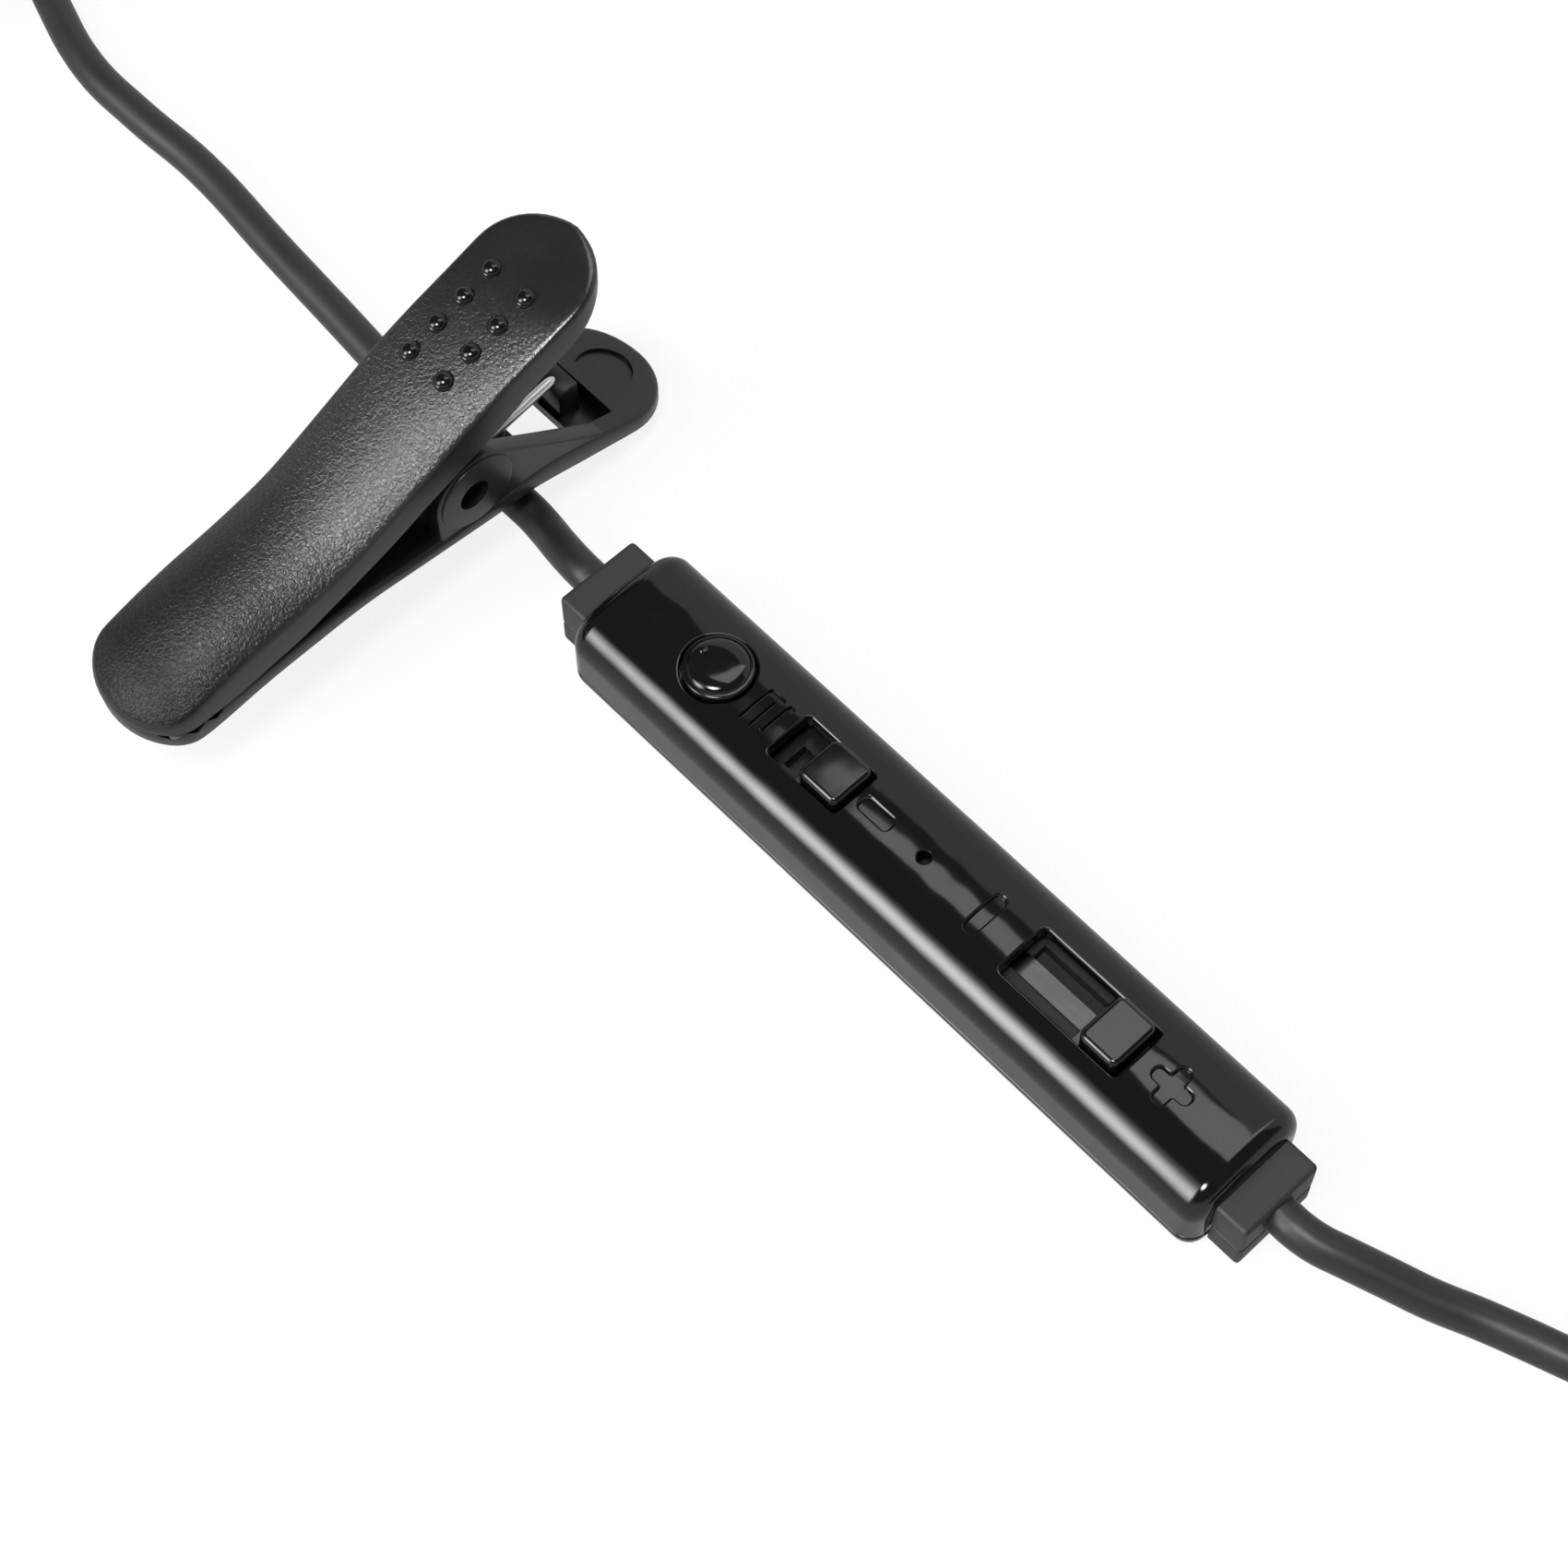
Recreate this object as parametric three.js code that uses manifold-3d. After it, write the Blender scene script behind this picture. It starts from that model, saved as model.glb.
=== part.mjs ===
// In-line lavalier microphone and remote on a round cord, with a spring lapel clip.
// Millimetres. +X runs along the box to its plug end, +Z is up.
// The origin is the middle of the box's flat underside.

import * as THREE from 'three';
import { mergeVertices } from 'three/addons/utils/BufferGeometryUtils.js';
import Module from 'manifold-3d';

const wasm = await Module();
wasm.setup();

// Remote box
const boxLength = 54.2;
const boxWidth = 9.5;
const boxHeight = 7.1;
const shoulderRadius = 2.4;
const crownRadius = 14;
const baseRadius = 1.7;
const endRounding = 1.3;
const partingHeight = 1.9;
const wall = 1;
const boxEndWall = 1;
const markDepth = 0.2;

// Clearances and cutting overrun
const seatGap = 0.3;
const slideGap = 0.15;
const overrun = 2;

// Circuit board and what it carries
const boardEndGap = 1.75;
const boardWidth = 6.8;
const boardThickness = 0.8;
const boardPostHeight = 1.6;
const boardPostRadius = 0.6;
const boardPostShareX = 0.42;
const boardPostShareY = 0.3;
const chipLength = 2.6;
const chipWidth = 2.4;
const chipHeight = 0.9;
const chipPlaceShare = -0.148;
const capacitorLength = 1.6;
const capacitorWidth = 0.9;
const capacitorHeight = 0.8;
const capacitorPlaceShares = [0.12, 0.175];
const resistorLength = 1.2;
const resistorPlaceShare = -0.037;

// Call button and its key switch
const buttonPlaceShare = -0.334;
const buttonRadius = 2.3;
const buttonFlangeRadius = 2.9;
const buttonFlangeThickness = 0.5;
const buttonStemRadius = 0.8;
const buttonRimRise = 0.2;
const buttonDomeRise = 0.4;
const buttonPipRadius = 0.28;
const buttonPipOffset = 1.3;
const buttonPipRise = 0.12;
const keySide = 3.6;
const keyHeight = 1.1;
const keyWellFloor = 0.15;
const keyPlungerRadius = 0.75;
const keyPlungerHeight = 0.95;
const keyTravel = 0.35;

// Mode slide switch
const modeSlotPlaceShare = -0.1635;
const modeSlotLength = 6;
const modeSlotWidth = 3.7;
const modeKnobLength = 3.3;
const modeTravel = 2.3;
const modeFrameLength = 8.6;
const modeFrameWidth = 5.2;
const modeFrameHeight = 1.5;
const modeGrooveWidth = 1.8;
const modeGrooveDepth = 1;
const modeFootLength = 1.4;
const modeFootWidth = 1.3;

// Volume slide potentiometer
const volumeSlotPlaceShare = 0.241;
const volumeSlotLength = 9.68;
const volumeSlotWidth = 4.08;
const volumeKnobLength = 3.05;
const volumeTravel = 6;
const volumeFrameLength = 14.4;
const volumeFrameWidth = 5.6;
const volumeFrameHeight = 1.5;
const volumeGrooveWidth = 1.1;
const volumeGrooveDepth = 1.1;
const volumeGrooveOffset = 1.45;
const volumeFootLength = 1.4;
const volumeFootWidth = 0.6;
const trackThickness = 0.2;
const coverThickness = 0.15;
const coverWidth = 1.4;
const coverOffset = 0.15;

// Both slide knobs
const knobRise = 0.7;
const knobWidthGap = 0.15;
const knobFlangeReach = 0.6;
const knobFlangeThickness = 0.4;
const knobEdge = 0.4;
const wiperThickness = 0.2;

// Microphone
const micHoleRadius = 0.47;
const capsuleRadius = 2;
const capsuleHeight = 1.4;
const capsulePinRadius = 0.25;
const bootWall = 0.6;
const bootHeight = 2.1;
const clothThickness = 0.15;

// Engraved marks
const markStroke = 0.6;
const digitHeight = 2.9;
const digitWidth = 2.3;
const twoPlaceShare = -0.253;
const onePlaceShare = -0.0757;
const minusPlaceShare = 0.096;
const plusPlaceShare = 0.378;
const signLength = 3.2;

// Cord stub at each end of the box
const stubWidth = 6.3;
const stubBase = 0.6;
const stubTop = 5.4;
const stubLength = 2.1;
const stubEdge = 0.3;
const stubNeckWidth = 4.8;
const stubNeckBase = 1.6;
const stubNeckTop = 4.8;
const stubFlangeThickness = 0.7;
const leadRadius = 0.25;
const leadLengthShare = 0.048;
const leadSpacing = 0.6;
const leadSpread = 1.5;

// Cord
const cordDiameter = 2.5;
const cordHeight = 3.55;
const cordSides = 8;
const cordStep = 6;
const coilSides = 6;
const coilStepsPerTurn = 24;
const coilPitch = 3;
const tieThickness = 0.4;
const tieGap = 0.2;
const tieWidth = 3.5;
const tieReach = 2.5;

// Coil on the plug side
const plugCoilReach = 54.5;
const plugCoilY = 1;
const plugCoilMeanRadius = 14.4;
const plugCoilLayers = 4;
const plugCoilTurnsPerLayer = 2.25;

// Coil on the clip side
const clipCoilReach = 83;
const clipCoilY = -4.5;
const clipCoilMeanRadius = 14;
const clipCoilLayers = 2;
const clipCoilTurnsPerLayer = 1;

// Plug, 3.5 mm with four poles
const jackRadius = 1.75;
const insulatorRadius = 1.7;
const tipLength = 3.4;
const poleLength = 1.7;
const insulatorLength = 0.6;
const sleeveLength = 5.6;
const plugCollarRadius = 2.6;
const plugCollarLength = 1;
const plugGripRadius = 3;
const plugGripLength = 14;
const plugPastCoil = 21.2;
const plugY = 3.7;
const plugHeight = 3.1;

// In-line socket
const socketRadius = 3.6;
const socketLength = 20;
const socketInsertRadius = 2.8;
const socketInsertLength = 14;
const socketBoreRadius = 1.85;
const socketBushRadius = 3.2;
const socketBushLength = 1.6;
const contactWidth = 0.8;
const contactThickness = 0.4;
const contactLength = 6;
const socketPastCoil = 19.9;
const socketY = -4.8;
const socketHeight = 3.7;
const reliefLength = 8;
const reliefRadius = 2.1;

// Lapel clip
const clipReach = 12.4;
const pivotY = -3;
const pivotZ = 8.3;
const clipSpan = 40;
const clipHeight = 19.4;
const handleWidth = 9;
const jawWidth = 8.6;
const leverEdge = 0.35;
const leverSkin = 1.1;
const rimThickness = 1;
const earThickness = 1.25;
const earRadius = 3.2;
const earShift = 0.3;
const innerEarThickness = 0.8;
const innerEarRadius = 2.3;
const pinRadius = 0.9;
const pinSeat = 0.1;
const pinRunning = 0.2;
const pinRecess = 0.4;
const toothPitchShare = 0.0375;
const toothHeight = 0.6;
const toothCount = 3;
const toothStartShare = -0.515;
const toothLine = -2.05;
const jawGap = 0.3;
const dotRadius = 0.55;
const dotRise = 0.3;
const dotRowSpacing = 3.15;
const dotRowOffset = -0.4;
const dotFirstShare = 0.031;
const dotPitchShare = 0.0575;
const dotsPerRow = 4;
const windowStartShare = 0.1475;
const windowEndShare = 0.241;
const windowWidth = 5.4;
const pocketEndShare = 0.3175;
const pocketDepth = 1.2;
const recessStartShare = 0.344;
const recessPlaceShare = 0.371;
const recessRadius = 1.95;
const recessDepth = 0.5;
const seatLength = 1.7;
const seatWidth = 2.2;
const seatPlaceShare = 0.25;
const seatTop = -2.85;
const handleEndFar = 3;
const handleEndNear = 4.5;
const ribSlope = 0.884;
const ribEndShare = 0.2725;

// Torsion spring
const wireRadius = 0.35;
const springRadius = 1.6;
const springPitch = 1.15;
const springSides = 5;
const springStepsPerTurn = 8;
const lowerLegEnd = [-0.1, -2.45];
const lowerLegSeat = 0.7;
const upperLegReach = 9.5;
const upperLegAngle = 37;
const lowerLegAngle = -4;
const springFullTurns = 2;

// Swivelling cord ring under the clip
const ringPlace = 4.35;
const ringCordHeight = 1.35;
const ringBore = 1.45;
const ringOuter = 1.9;
const ringLength = 4;
const ringMouthAngle = 35;
const ringBossRadius = 1.5;
const ringBossTop = 3.3;
const ringStudRadius = 1.1;
const ringStudHeadRadius = 1.45;
const ringStudHeadThickness = 0.4;
const ringStudRise = 0.1;
const ringStudGap = 0.15;

const matteBlack = { color: 0x262626, roughness: 0.55, metalness: 0 };
const glossBlack = { color: 0x151515, roughness: 0.12, metalness: 0 };
const cordBlack = { color: 0x2a2a2a, roughness: 0.6, metalness: 0 };
const rubberBlack = { color: 0x1c1c1c, roughness: 0.85, metalness: 0 };
const boardGreen = { color: 0x1f5a3a, roughness: 0.5, metalness: 0 };
const steel = { color: 0xc8c8c8, roughness: 0.25, metalness: 1 };
const brass = { color: 0xc9a24a, roughness: 0.35, metalness: 1 };
const nickel = { color: 0xd8d5cc, roughness: 0.2, metalness: 1 };
const chipBlack = { color: 0x202020, roughness: 0.6, metalness: 0 };
const ceramic = { color: 0xb9a78a, roughness: 0.6, metalness: 0 };
const whitePlastic = { color: 0xe6e4dc, roughness: 0.5, metalness: 0 };

const degrees = Math.PI / 180;
const boxEnd = boxLength / 2;
const boardBase = wall + boardPostHeight;
const boardTop = boardBase + boardThickness;
const buttonPlace = buttonPlaceShare * boxLength;
const modeSlotStart = modeSlotPlaceShare * boxLength - modeSlotLength / 2;
const volumeSlotStart = volumeSlotPlaceShare * boxLength - volumeSlotLength / 2;
const stubFace = boxEnd + seatGap + stubLength;
const stubInner = boxEnd - boxEndWall - slideGap - stubFlangeThickness;
const boardLength = 2 * (stubInner - boardEndGap);
const clipX = -stubFace - clipReach;
const leadLength = leadLengthShare * boxLength;
const plugReach = plugCoilReach + plugPastCoil;
const socketReach = clipCoilReach + socketPastCoil;
const shellRoof = boxHeight - wall;
const flangeTop = shellRoof - seatGap;

// Solids and booleans

function toSolid(geometry) {
  const bare = new THREE.BufferGeometry();
  bare.setAttribute('position', geometry.getAttribute('position').clone());
  if (geometry.index) bare.setIndex(geometry.index.clone());
  const merged = mergeVertices(bare, 1e-5);
  const position = merged.getAttribute('position');
  const index = merged.index.array;
  const kept = [];
  let volume = 0;
  const a = new THREE.Vector3();
  const b = new THREE.Vector3();
  const c = new THREE.Vector3();
  for (let i = 0; i < index.length; i += 3) {
    const [p, q, r] = [index[i], index[i + 1], index[i + 2]];
    if (p === q || q === r || p === r) continue;
    kept.push(p, q, r);
    a.fromBufferAttribute(position, p);
    b.fromBufferAttribute(position, q);
    c.fromBufferAttribute(position, r);
    volume += a.dot(b.cross(c));
  }
  if (volume < 0) kept.reverse();
  const mesh = new wasm.Mesh({
    numProp: 3,
    vertProperties: new Float32Array(position.array),
    triVerts: new Uint32Array(kept),
  });
  return new wasm.Manifold(mesh);
}

function toGeometry(solid) {
  const mesh = solid.getMesh();
  const geometry = new THREE.BufferGeometry();
  geometry.setAttribute('position', new THREE.BufferAttribute(mesh.vertProperties, 3));
  geometry.setIndex(new THREE.BufferAttribute(mesh.triVerts, 1));
  return geometry;
}

function join(first, ...others) {
  return others.reduce((whole, piece) => whole.add(piece), first);
}

function cut(first, ...others) {
  return others.reduce((whole, piece) => whole.subtract(piece), first);
}

function block(x0, x1, y0, y1, z0, z1) {
  const geometry = new THREE.BoxGeometry(x1 - x0, y1 - y0, z1 - z0);
  geometry.translate((x0 + x1) / 2, (y0 + y1) / 2, (z0 + z1) / 2);
  return toSolid(geometry);
}

function pillar(radius, x, y, z0, z1, sides = 24) {
  const geometry = new THREE.CylinderGeometry(radius, radius, z1 - z0, sides);
  geometry.rotateX(Math.PI / 2);
  geometry.translate(x, y, (z0 + z1) / 2);
  return toSolid(geometry);
}

function axle(radius, x0, x1, y, z, sides = 24) {
  const geometry = new THREE.CylinderGeometry(radius, radius, x1 - x0, sides);
  geometry.rotateZ(Math.PI / 2);
  geometry.translate((x0 + x1) / 2, y, z);
  return toSolid(geometry);
}

// A shape drawn in (y, z) and drawn out along X, with its edge rounded by the bevel
function alongX(shape, x0, x1, bevel = 0, curveSegments = 3, bevelSegments = 2) {
  const geometry = new THREE.ExtrudeGeometry(shape, {
    depth: x1 - x0 - 2 * bevel,
    bevelEnabled: bevel > 0,
    bevelThickness: bevel,
    bevelSize: bevel,
    bevelOffset: -bevel,
    bevelSegments,
    curveSegments,
    steps: 1,
  });
  const toRow = new THREE.Matrix4().makeBasis(
    new THREE.Vector3(0, 1, 0), new THREE.Vector3(0, 0, 1), new THREE.Vector3(1, 0, 0));
  geometry.applyMatrix4(toRow);
  geometry.translate(x0 + bevel, 0, 0);
  return toSolid(geometry);
}

// A shape drawn in (x, y) and drawn out along Z
function alongZ(shape, z0, z1, bevel = 0, curveSegments = 6) {
  const geometry = new THREE.ExtrudeGeometry(shape, {
    depth: z1 - z0 - 2 * bevel,
    bevelEnabled: bevel > 0,
    bevelThickness: bevel,
    bevelSize: bevel,
    bevelOffset: -bevel,
    bevelSegments: 2,
    curveSegments,
    steps: 1,
  });
  geometry.translate(0, 0, z0 + bevel);
  return toSolid(geometry);
}

function outline(points) {
  return new THREE.Shape(points.map(([u, v]) => new THREE.Vector2(u, v)));
}

// A profile of [radius, height] points turned about Z
function turned(profile, sides = 24) {
  const geometry = new THREE.LatheGeometry(profile.map(([r, h]) => new THREE.Vector2(r, h)), sides);
  geometry.rotateX(Math.PI / 2);
  return toSolid(geometry);
}

// A closed tube through points, its rings square to the route
function tubeThrough(points, radius, sides) {
  const vertices = [];
  const indices = [];
  let side = new THREE.Vector3(0, 0, 1);
  const count = points.length;
  for (let i = 0; i < count; i += 1) {
    const before = points[Math.max(i - 1, 0)];
    const after = points[Math.min(i + 1, count - 1)];
    const tangent = after.clone().sub(before).normalize();
    side = side.clone().addScaledVector(tangent, -side.dot(tangent)).normalize();
    const other = tangent.clone().cross(side);
    for (let k = 0; k < sides; k += 1) {
      const angle = 2 * Math.PI * (k + 0.5) / sides;
      const at = points[i].clone();
      at.addScaledVector(side, radius * Math.cos(angle));
      at.addScaledVector(other, radius * Math.sin(angle));
      vertices.push(at.x, at.y, at.z);
    }
  }
  for (let i = 0; i < count - 1; i += 1) {
    for (let k = 0; k < sides; k += 1) {
      const p = i * sides + k;
      const q = i * sides + (k + 1) % sides;
      indices.push(p, q, q + sides, p, q + sides, p + sides);
    }
  }
  const last = (count - 1) * sides;
  for (let k = 1; k < sides - 1; k += 1) {
    indices.push(0, k + 1, k);
    indices.push(last, last + k, last + k + 1);
  }
  const geometry = new THREE.BufferGeometry();
  geometry.setAttribute('position', new THREE.Float32BufferAttribute(vertices, 3));
  geometry.setIndex(indices);
  return toSolid(geometry);
}

// A tube of even sides along a smooth curve through a list of points
function cordAlong(points, radius = cordDiameter / 2, sides = cordSides, step = cordStep) {
  const curve = new THREE.CatmullRomCurve3(points.map((p) => new THREE.Vector3(...p)));
  const steps = Math.max(2, Math.ceil(curve.getLength() / step));
  const ring = new THREE.Shape();
  for (let k = 0; k < sides; k += 1) {
    const angle = 2 * Math.PI * (k + 0.5) / sides;
    const u = radius * Math.cos(angle);
    const v = radius * Math.sin(angle);
    if (k === 0) ring.moveTo(u, v);
    else ring.lineTo(u, v);
  }
  ring.closePath();
  const geometry = new THREE.ExtrudeGeometry(ring, { steps, extrudePath: curve, bevelEnabled: false });
  return toSolid(geometry);
}

const group = new THREE.Group();

function add(name, solid, look, parent = group) {
  const mesh = new THREE.Mesh(toGeometry(solid), new THREE.MeshStandardMaterial(look));
  mesh.name = name;
  parent.add(mesh);
  return mesh;
}

// Remote box: its section is a rounded rectangle under a shallow crown

function boxSection(inset) {
  const halfWidth = boxWidth / 2 - inset;
  const top = boxHeight - inset;
  const shoulder = shoulderRadius - inset;
  const base = baseRadius - inset;
  const crown = crownRadius - inset;
  const tilt = Math.asin((halfWidth - shoulder) / (crown - shoulder));
  const crownZ = top - crown;
  const shoulderZ = crownZ + (crown - shoulder) * Math.cos(tilt);
  const quarter = Math.PI / 2;
  const shape = new THREE.Shape();
  shape.moveTo(-halfWidth + base, inset);
  shape.lineTo(halfWidth - base, inset);
  shape.absarc(halfWidth - base, inset + base, base, -quarter, 0, false);
  shape.absarc(halfWidth - shoulder, shoulderZ, shoulder, 0, quarter - tilt, false);
  shape.absarc(0, crownZ, crown, quarter - tilt, quarter + tilt, false);
  shape.absarc(shoulder - halfWidth, shoulderZ, shoulder, quarter + tilt, Math.PI, false);
  shape.absarc(base - halfWidth, inset + base, base, Math.PI, 3 * quarter, false);
  return shape;
}

function boxBody() {
  const geometry = new THREE.ExtrudeGeometry(boxSection(endRounding), {
    depth: boxLength - 2 * endRounding,
    bevelThickness: endRounding,
    bevelSize: endRounding,
    bevelSegments: 3,
    curveSegments: 3,
    steps: 1,
  });
  const toRow = new THREE.Matrix4().makeBasis(
    new THREE.Vector3(0, 1, 0), new THREE.Vector3(0, 0, 1), new THREE.Vector3(1, 0, 0));
  geometry.applyMatrix4(toRow);
  geometry.translate(endRounding - boxEnd, 0, 0);
  return toSolid(geometry);
}

function boxCavity() {
  return alongX(boxSection(wall), boxEndWall - boxEnd, boxEnd - boxEndWall);
}

function stubOpening(side) {
  const inner = boxEnd - boxEndWall - overrun;
  const outer = boxEnd + overrun;
  const half = stubNeckWidth / 2 + slideGap;
  const [x0, x1] = side < 0 ? [-outer, -inner] : [inner, outer];
  return block(x0, x1, -half, half, stubNeckBase - slideGap, stubNeckTop + slideGap);
}

// A mark's outline drawn to be read with the clip end of the box up
function mark(points, place) {
  const shape = outline(points.map(([u, v]) => [place - v, u]));
  return alongZ(shape, boxHeight - markDepth, boxHeight + overrun);
}

function barPoints(width, height) {
  const [u, v] = [width / 2, height / 2];
  return [[-u, -v], [u, -v], [u, v], [-u, v]];
}

function twoPoints() {
  const [u, v, s] = [digitWidth / 2, digitHeight / 2, markStroke];
  return [
    [-u, -v], [u, -v], [u, s - v], [s - u, s - v], [s - u, -s / 2], [u, -s / 2],
    [u, v], [-u, v], [-u, v - s], [u - s, v - s], [u - s, s / 2], [-u, s / 2],
  ];
}

function plusPoints() {
  const [u, s] = [signLength / 2, markStroke / 2];
  return [
    [-s, -u], [s, -u], [s, -s], [u, -s], [u, s], [s, s],
    [s, u], [-s, u], [-s, s], [-u, s], [-u, -s], [-s, -s],
  ];
}

function slotCut(start, length, width) {
  return block(start, start + length, -width / 2, width / 2, shellRoof - overrun, boxHeight + overrun);
}

function upperShell() {
  const above = block(-boxLength, boxLength, -boxWidth, boxWidth, partingHeight, boxHeight + overrun);
  const shell = boxBody().intersect(above);
  return cut(
    shell,
    boxCavity(),
    stubOpening(-1),
    stubOpening(1),
    slotCut(modeSlotStart, modeSlotLength, modeSlotWidth),
    slotCut(volumeSlotStart, volumeSlotLength, volumeSlotWidth),
    pillar(buttonRadius + slideGap, buttonPlace, 0, shellRoof - overrun, boxHeight + overrun, 32),
    pillar(micHoleRadius, 0, 0, shellRoof - overrun, boxHeight + overrun, 16),
    mark(twoPoints(), twoPlaceShare * boxLength),
    mark(barPoints(markStroke, digitHeight), onePlaceShare * boxLength),
    mark(barPoints(signLength, markStroke), minusPlaceShare * boxLength),
    mark(plusPoints(), plusPlaceShare * boxLength),
  );
}

function lowerShell() {
  const below = block(-boxLength, boxLength, -boxWidth, boxWidth, -overrun, partingHeight);
  let shell = cut(boxBody().intersect(below), boxCavity(), stubOpening(-1), stubOpening(1));
  for (const sideX of [-1, 1]) {
    for (const sideY of [-1, 1]) {
      const x = sideX * boardLength * boardPostShareX;
      const y = sideY * boardWidth * boardPostShareY;
      shell = shell.add(pillar(boardPostRadius, x, y, wall / 2, boardBase, 12));
    }
  }
  return shell;
}

add('upper_shell', upperShell(), glossBlack);
add('lower_shell', lowerShell(), glossBlack);

// Circuit board with its small parts

function circuitBoard() {
  const [x, y] = [boardLength / 2, boardWidth / 2];
  return block(-x, x, -y, y, boardBase, boardTop);
}

function hungPart(place, length, width, height) {
  return block(place - length / 2, place + length / 2, -width / 2, width / 2, boardBase - height, boardBase);
}

add('circuit_board', circuitBoard(), boardGreen);
add('amplifier_chip', hungPart(chipPlaceShare * boxLength, chipLength, chipWidth, chipHeight), chipBlack);
capacitorPlaceShares.forEach((share, i) => {
  const solid = hungPart(share * boxLength, capacitorLength, capacitorWidth, capacitorHeight);
  add(`capacitor_${i + 1}`, solid, ceramic);
});
const resistorPlace = resistorPlaceShare * boxLength;
add('bias_resistor', hungPart(resistorPlace, resistorLength, capacitorWidth, capacitorHeight), chipBlack);

// Call button over its key switch

function keySwitchBody() {
  const half = keySide / 2;
  const body = block(buttonPlace - half, buttonPlace + half, -half, half, boardTop, boardTop + keyHeight);
  const well = pillar(keyPlungerRadius + slideGap, buttonPlace, 0, boardTop + keyWellFloor, boardTop + overrun);
  return cut(body, well);
}

const plungerBase = boardTop + keyWellFloor + keyTravel + slideGap / 2;
const plungerTop = plungerBase + keyPlungerHeight;

function callButton() {
  const flangeBase = flangeTop - buttonFlangeThickness;
  const rim = boxHeight + buttonRimRise;
  const profile = [
    [0, plungerTop], [buttonStemRadius, plungerTop], [buttonStemRadius, flangeBase],
    [buttonFlangeRadius, flangeBase], [buttonFlangeRadius, flangeTop], [buttonRadius, flangeTop],
    [buttonRadius, rim],
  ];
  const domeSteps = 4;
  for (let i = 1; i <= domeSteps; i += 1) {
    const angle = (Math.PI / 2) * (i / domeSteps);
    const radius = i === domeSteps ? 0 : (buttonRadius - buttonRimRise) * Math.cos(angle);
    profile.push([radius, rim + buttonDomeRise * Math.sin(angle)]);
  }
  const body = turned(profile, 32).translate(buttonPlace, 0, 0);
  const pipX = buttonPlace - buttonPipOffset;
  return body.add(pillar(buttonPipRadius, pipX, 0, rim, rim + buttonDomeRise + buttonPipRise, 10));
}

add('key_switch_body', keySwitchBody(), chipBlack);
add('key_switch_plunger', pillar(keyPlungerRadius, buttonPlace, 0, plungerBase, plungerTop), whitePlastic);
add('call_button', callButton(), glossBlack);

// Slide knobs: a cap in the slot, a flange under the shell and a foot in the switch's groove

function slideKnob(centre, length, slotWidth, frameTop, foot) {
  const width = slotWidth - 2 * knobWidthGap;
  const flangeBase = frameTop + slideGap;
  const flangeLevel = flangeBase + knobFlangeThickness;
  const plan = outline([
    [centre - length / 2, -width / 2], [centre + length / 2, -width / 2],
    [centre + length / 2, width / 2], [centre - length / 2, width / 2],
  ]);
  const cap = alongZ(plan, flangeBase, boxHeight + knobRise, knobEdge);
  const reach = length / 2 + knobFlangeReach;
  const side = slotWidth / 2 + knobFlangeReach / 2;
  const flange = block(centre - reach, centre + reach, -side, side, flangeBase, flangeLevel);
  const footSolid = block(
    centre - foot.length / 2, centre + foot.length / 2,
    foot.offset - foot.width / 2, foot.offset + foot.width / 2, foot.base, flangeLevel);
  return join(cap, flange, footSolid);
}

// Mode slide switch

const modeKnobX = modeSlotStart + modeSlotLength - slideGap - modeKnobLength / 2;
const modeMiddle = modeSlotStart + modeSlotLength / 2;
const modeFrameTop = boardTop + modeFrameHeight;
const modeGrooveFloor = modeFrameTop - modeGrooveDepth;
const modeFoot = {
  length: modeFootLength,
  width: modeFootWidth,
  offset: 0,
  base: modeGrooveFloor + slideGap + wiperThickness,
};

function modeSwitchFrame() {
  const half = modeFrameLength / 2;
  const body = block(
    modeMiddle - half, modeMiddle + half, -modeFrameWidth / 2, modeFrameWidth / 2, boardTop, modeFrameTop);
  const reach = (modeTravel + modeFootLength) / 2 + 2 * seatGap;
  const groove = block(
    modeMiddle - reach, modeMiddle + reach,
    -modeGrooveWidth / 2, modeGrooveWidth / 2, modeGrooveFloor, modeFrameTop + overrun);
  return cut(body, groove);
}

function wiper(centre, foot) {
  const reach = foot.length / 2;
  return block(
    centre - reach, centre + reach,
    foot.offset - foot.width / 2, foot.offset + foot.width / 2, foot.base - wiperThickness, foot.base);
}

add('mode_switch_frame', modeSwitchFrame(), steel);
add('mode_knob', slideKnob(modeKnobX, modeKnobLength, modeSlotWidth, modeFrameTop, modeFoot), glossBlack);
add('mode_contact', wiper(modeKnobX, modeFoot), brass);

// Volume slide potentiometer

const volumeKnobX = volumeSlotStart + volumeSlotLength - 2 * slideGap - volumeKnobLength / 2;
const volumeMiddle = volumeSlotStart + volumeSlotLength / 2;
const volumeFrameTop = boardTop + volumeFrameHeight;
const volumeGrooveFloor = volumeFrameTop - volumeGrooveDepth;
const volumeFoot = {
  length: volumeFootLength,
  width: volumeFootWidth,
  offset: volumeGrooveOffset,
  base: volumeGrooveFloor + trackThickness + slideGap + wiperThickness,
};
const volumeGrooveReach = (volumeTravel + volumeFootLength) / 2 + 3 * seatGap;

function volumeFrame() {
  const half = volumeFrameLength / 2;
  const body = block(
    volumeMiddle - half, volumeMiddle + half,
    -volumeFrameWidth / 2, volumeFrameWidth / 2, boardTop, volumeFrameTop - coverThickness);
  const groove = block(
    volumeMiddle - volumeGrooveReach, volumeMiddle + volumeGrooveReach,
    volumeGrooveOffset - volumeGrooveWidth / 2, volumeGrooveOffset + volumeGrooveWidth / 2,
    volumeGrooveFloor, volumeFrameTop + overrun);
  return cut(body, groove);
}

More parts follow.
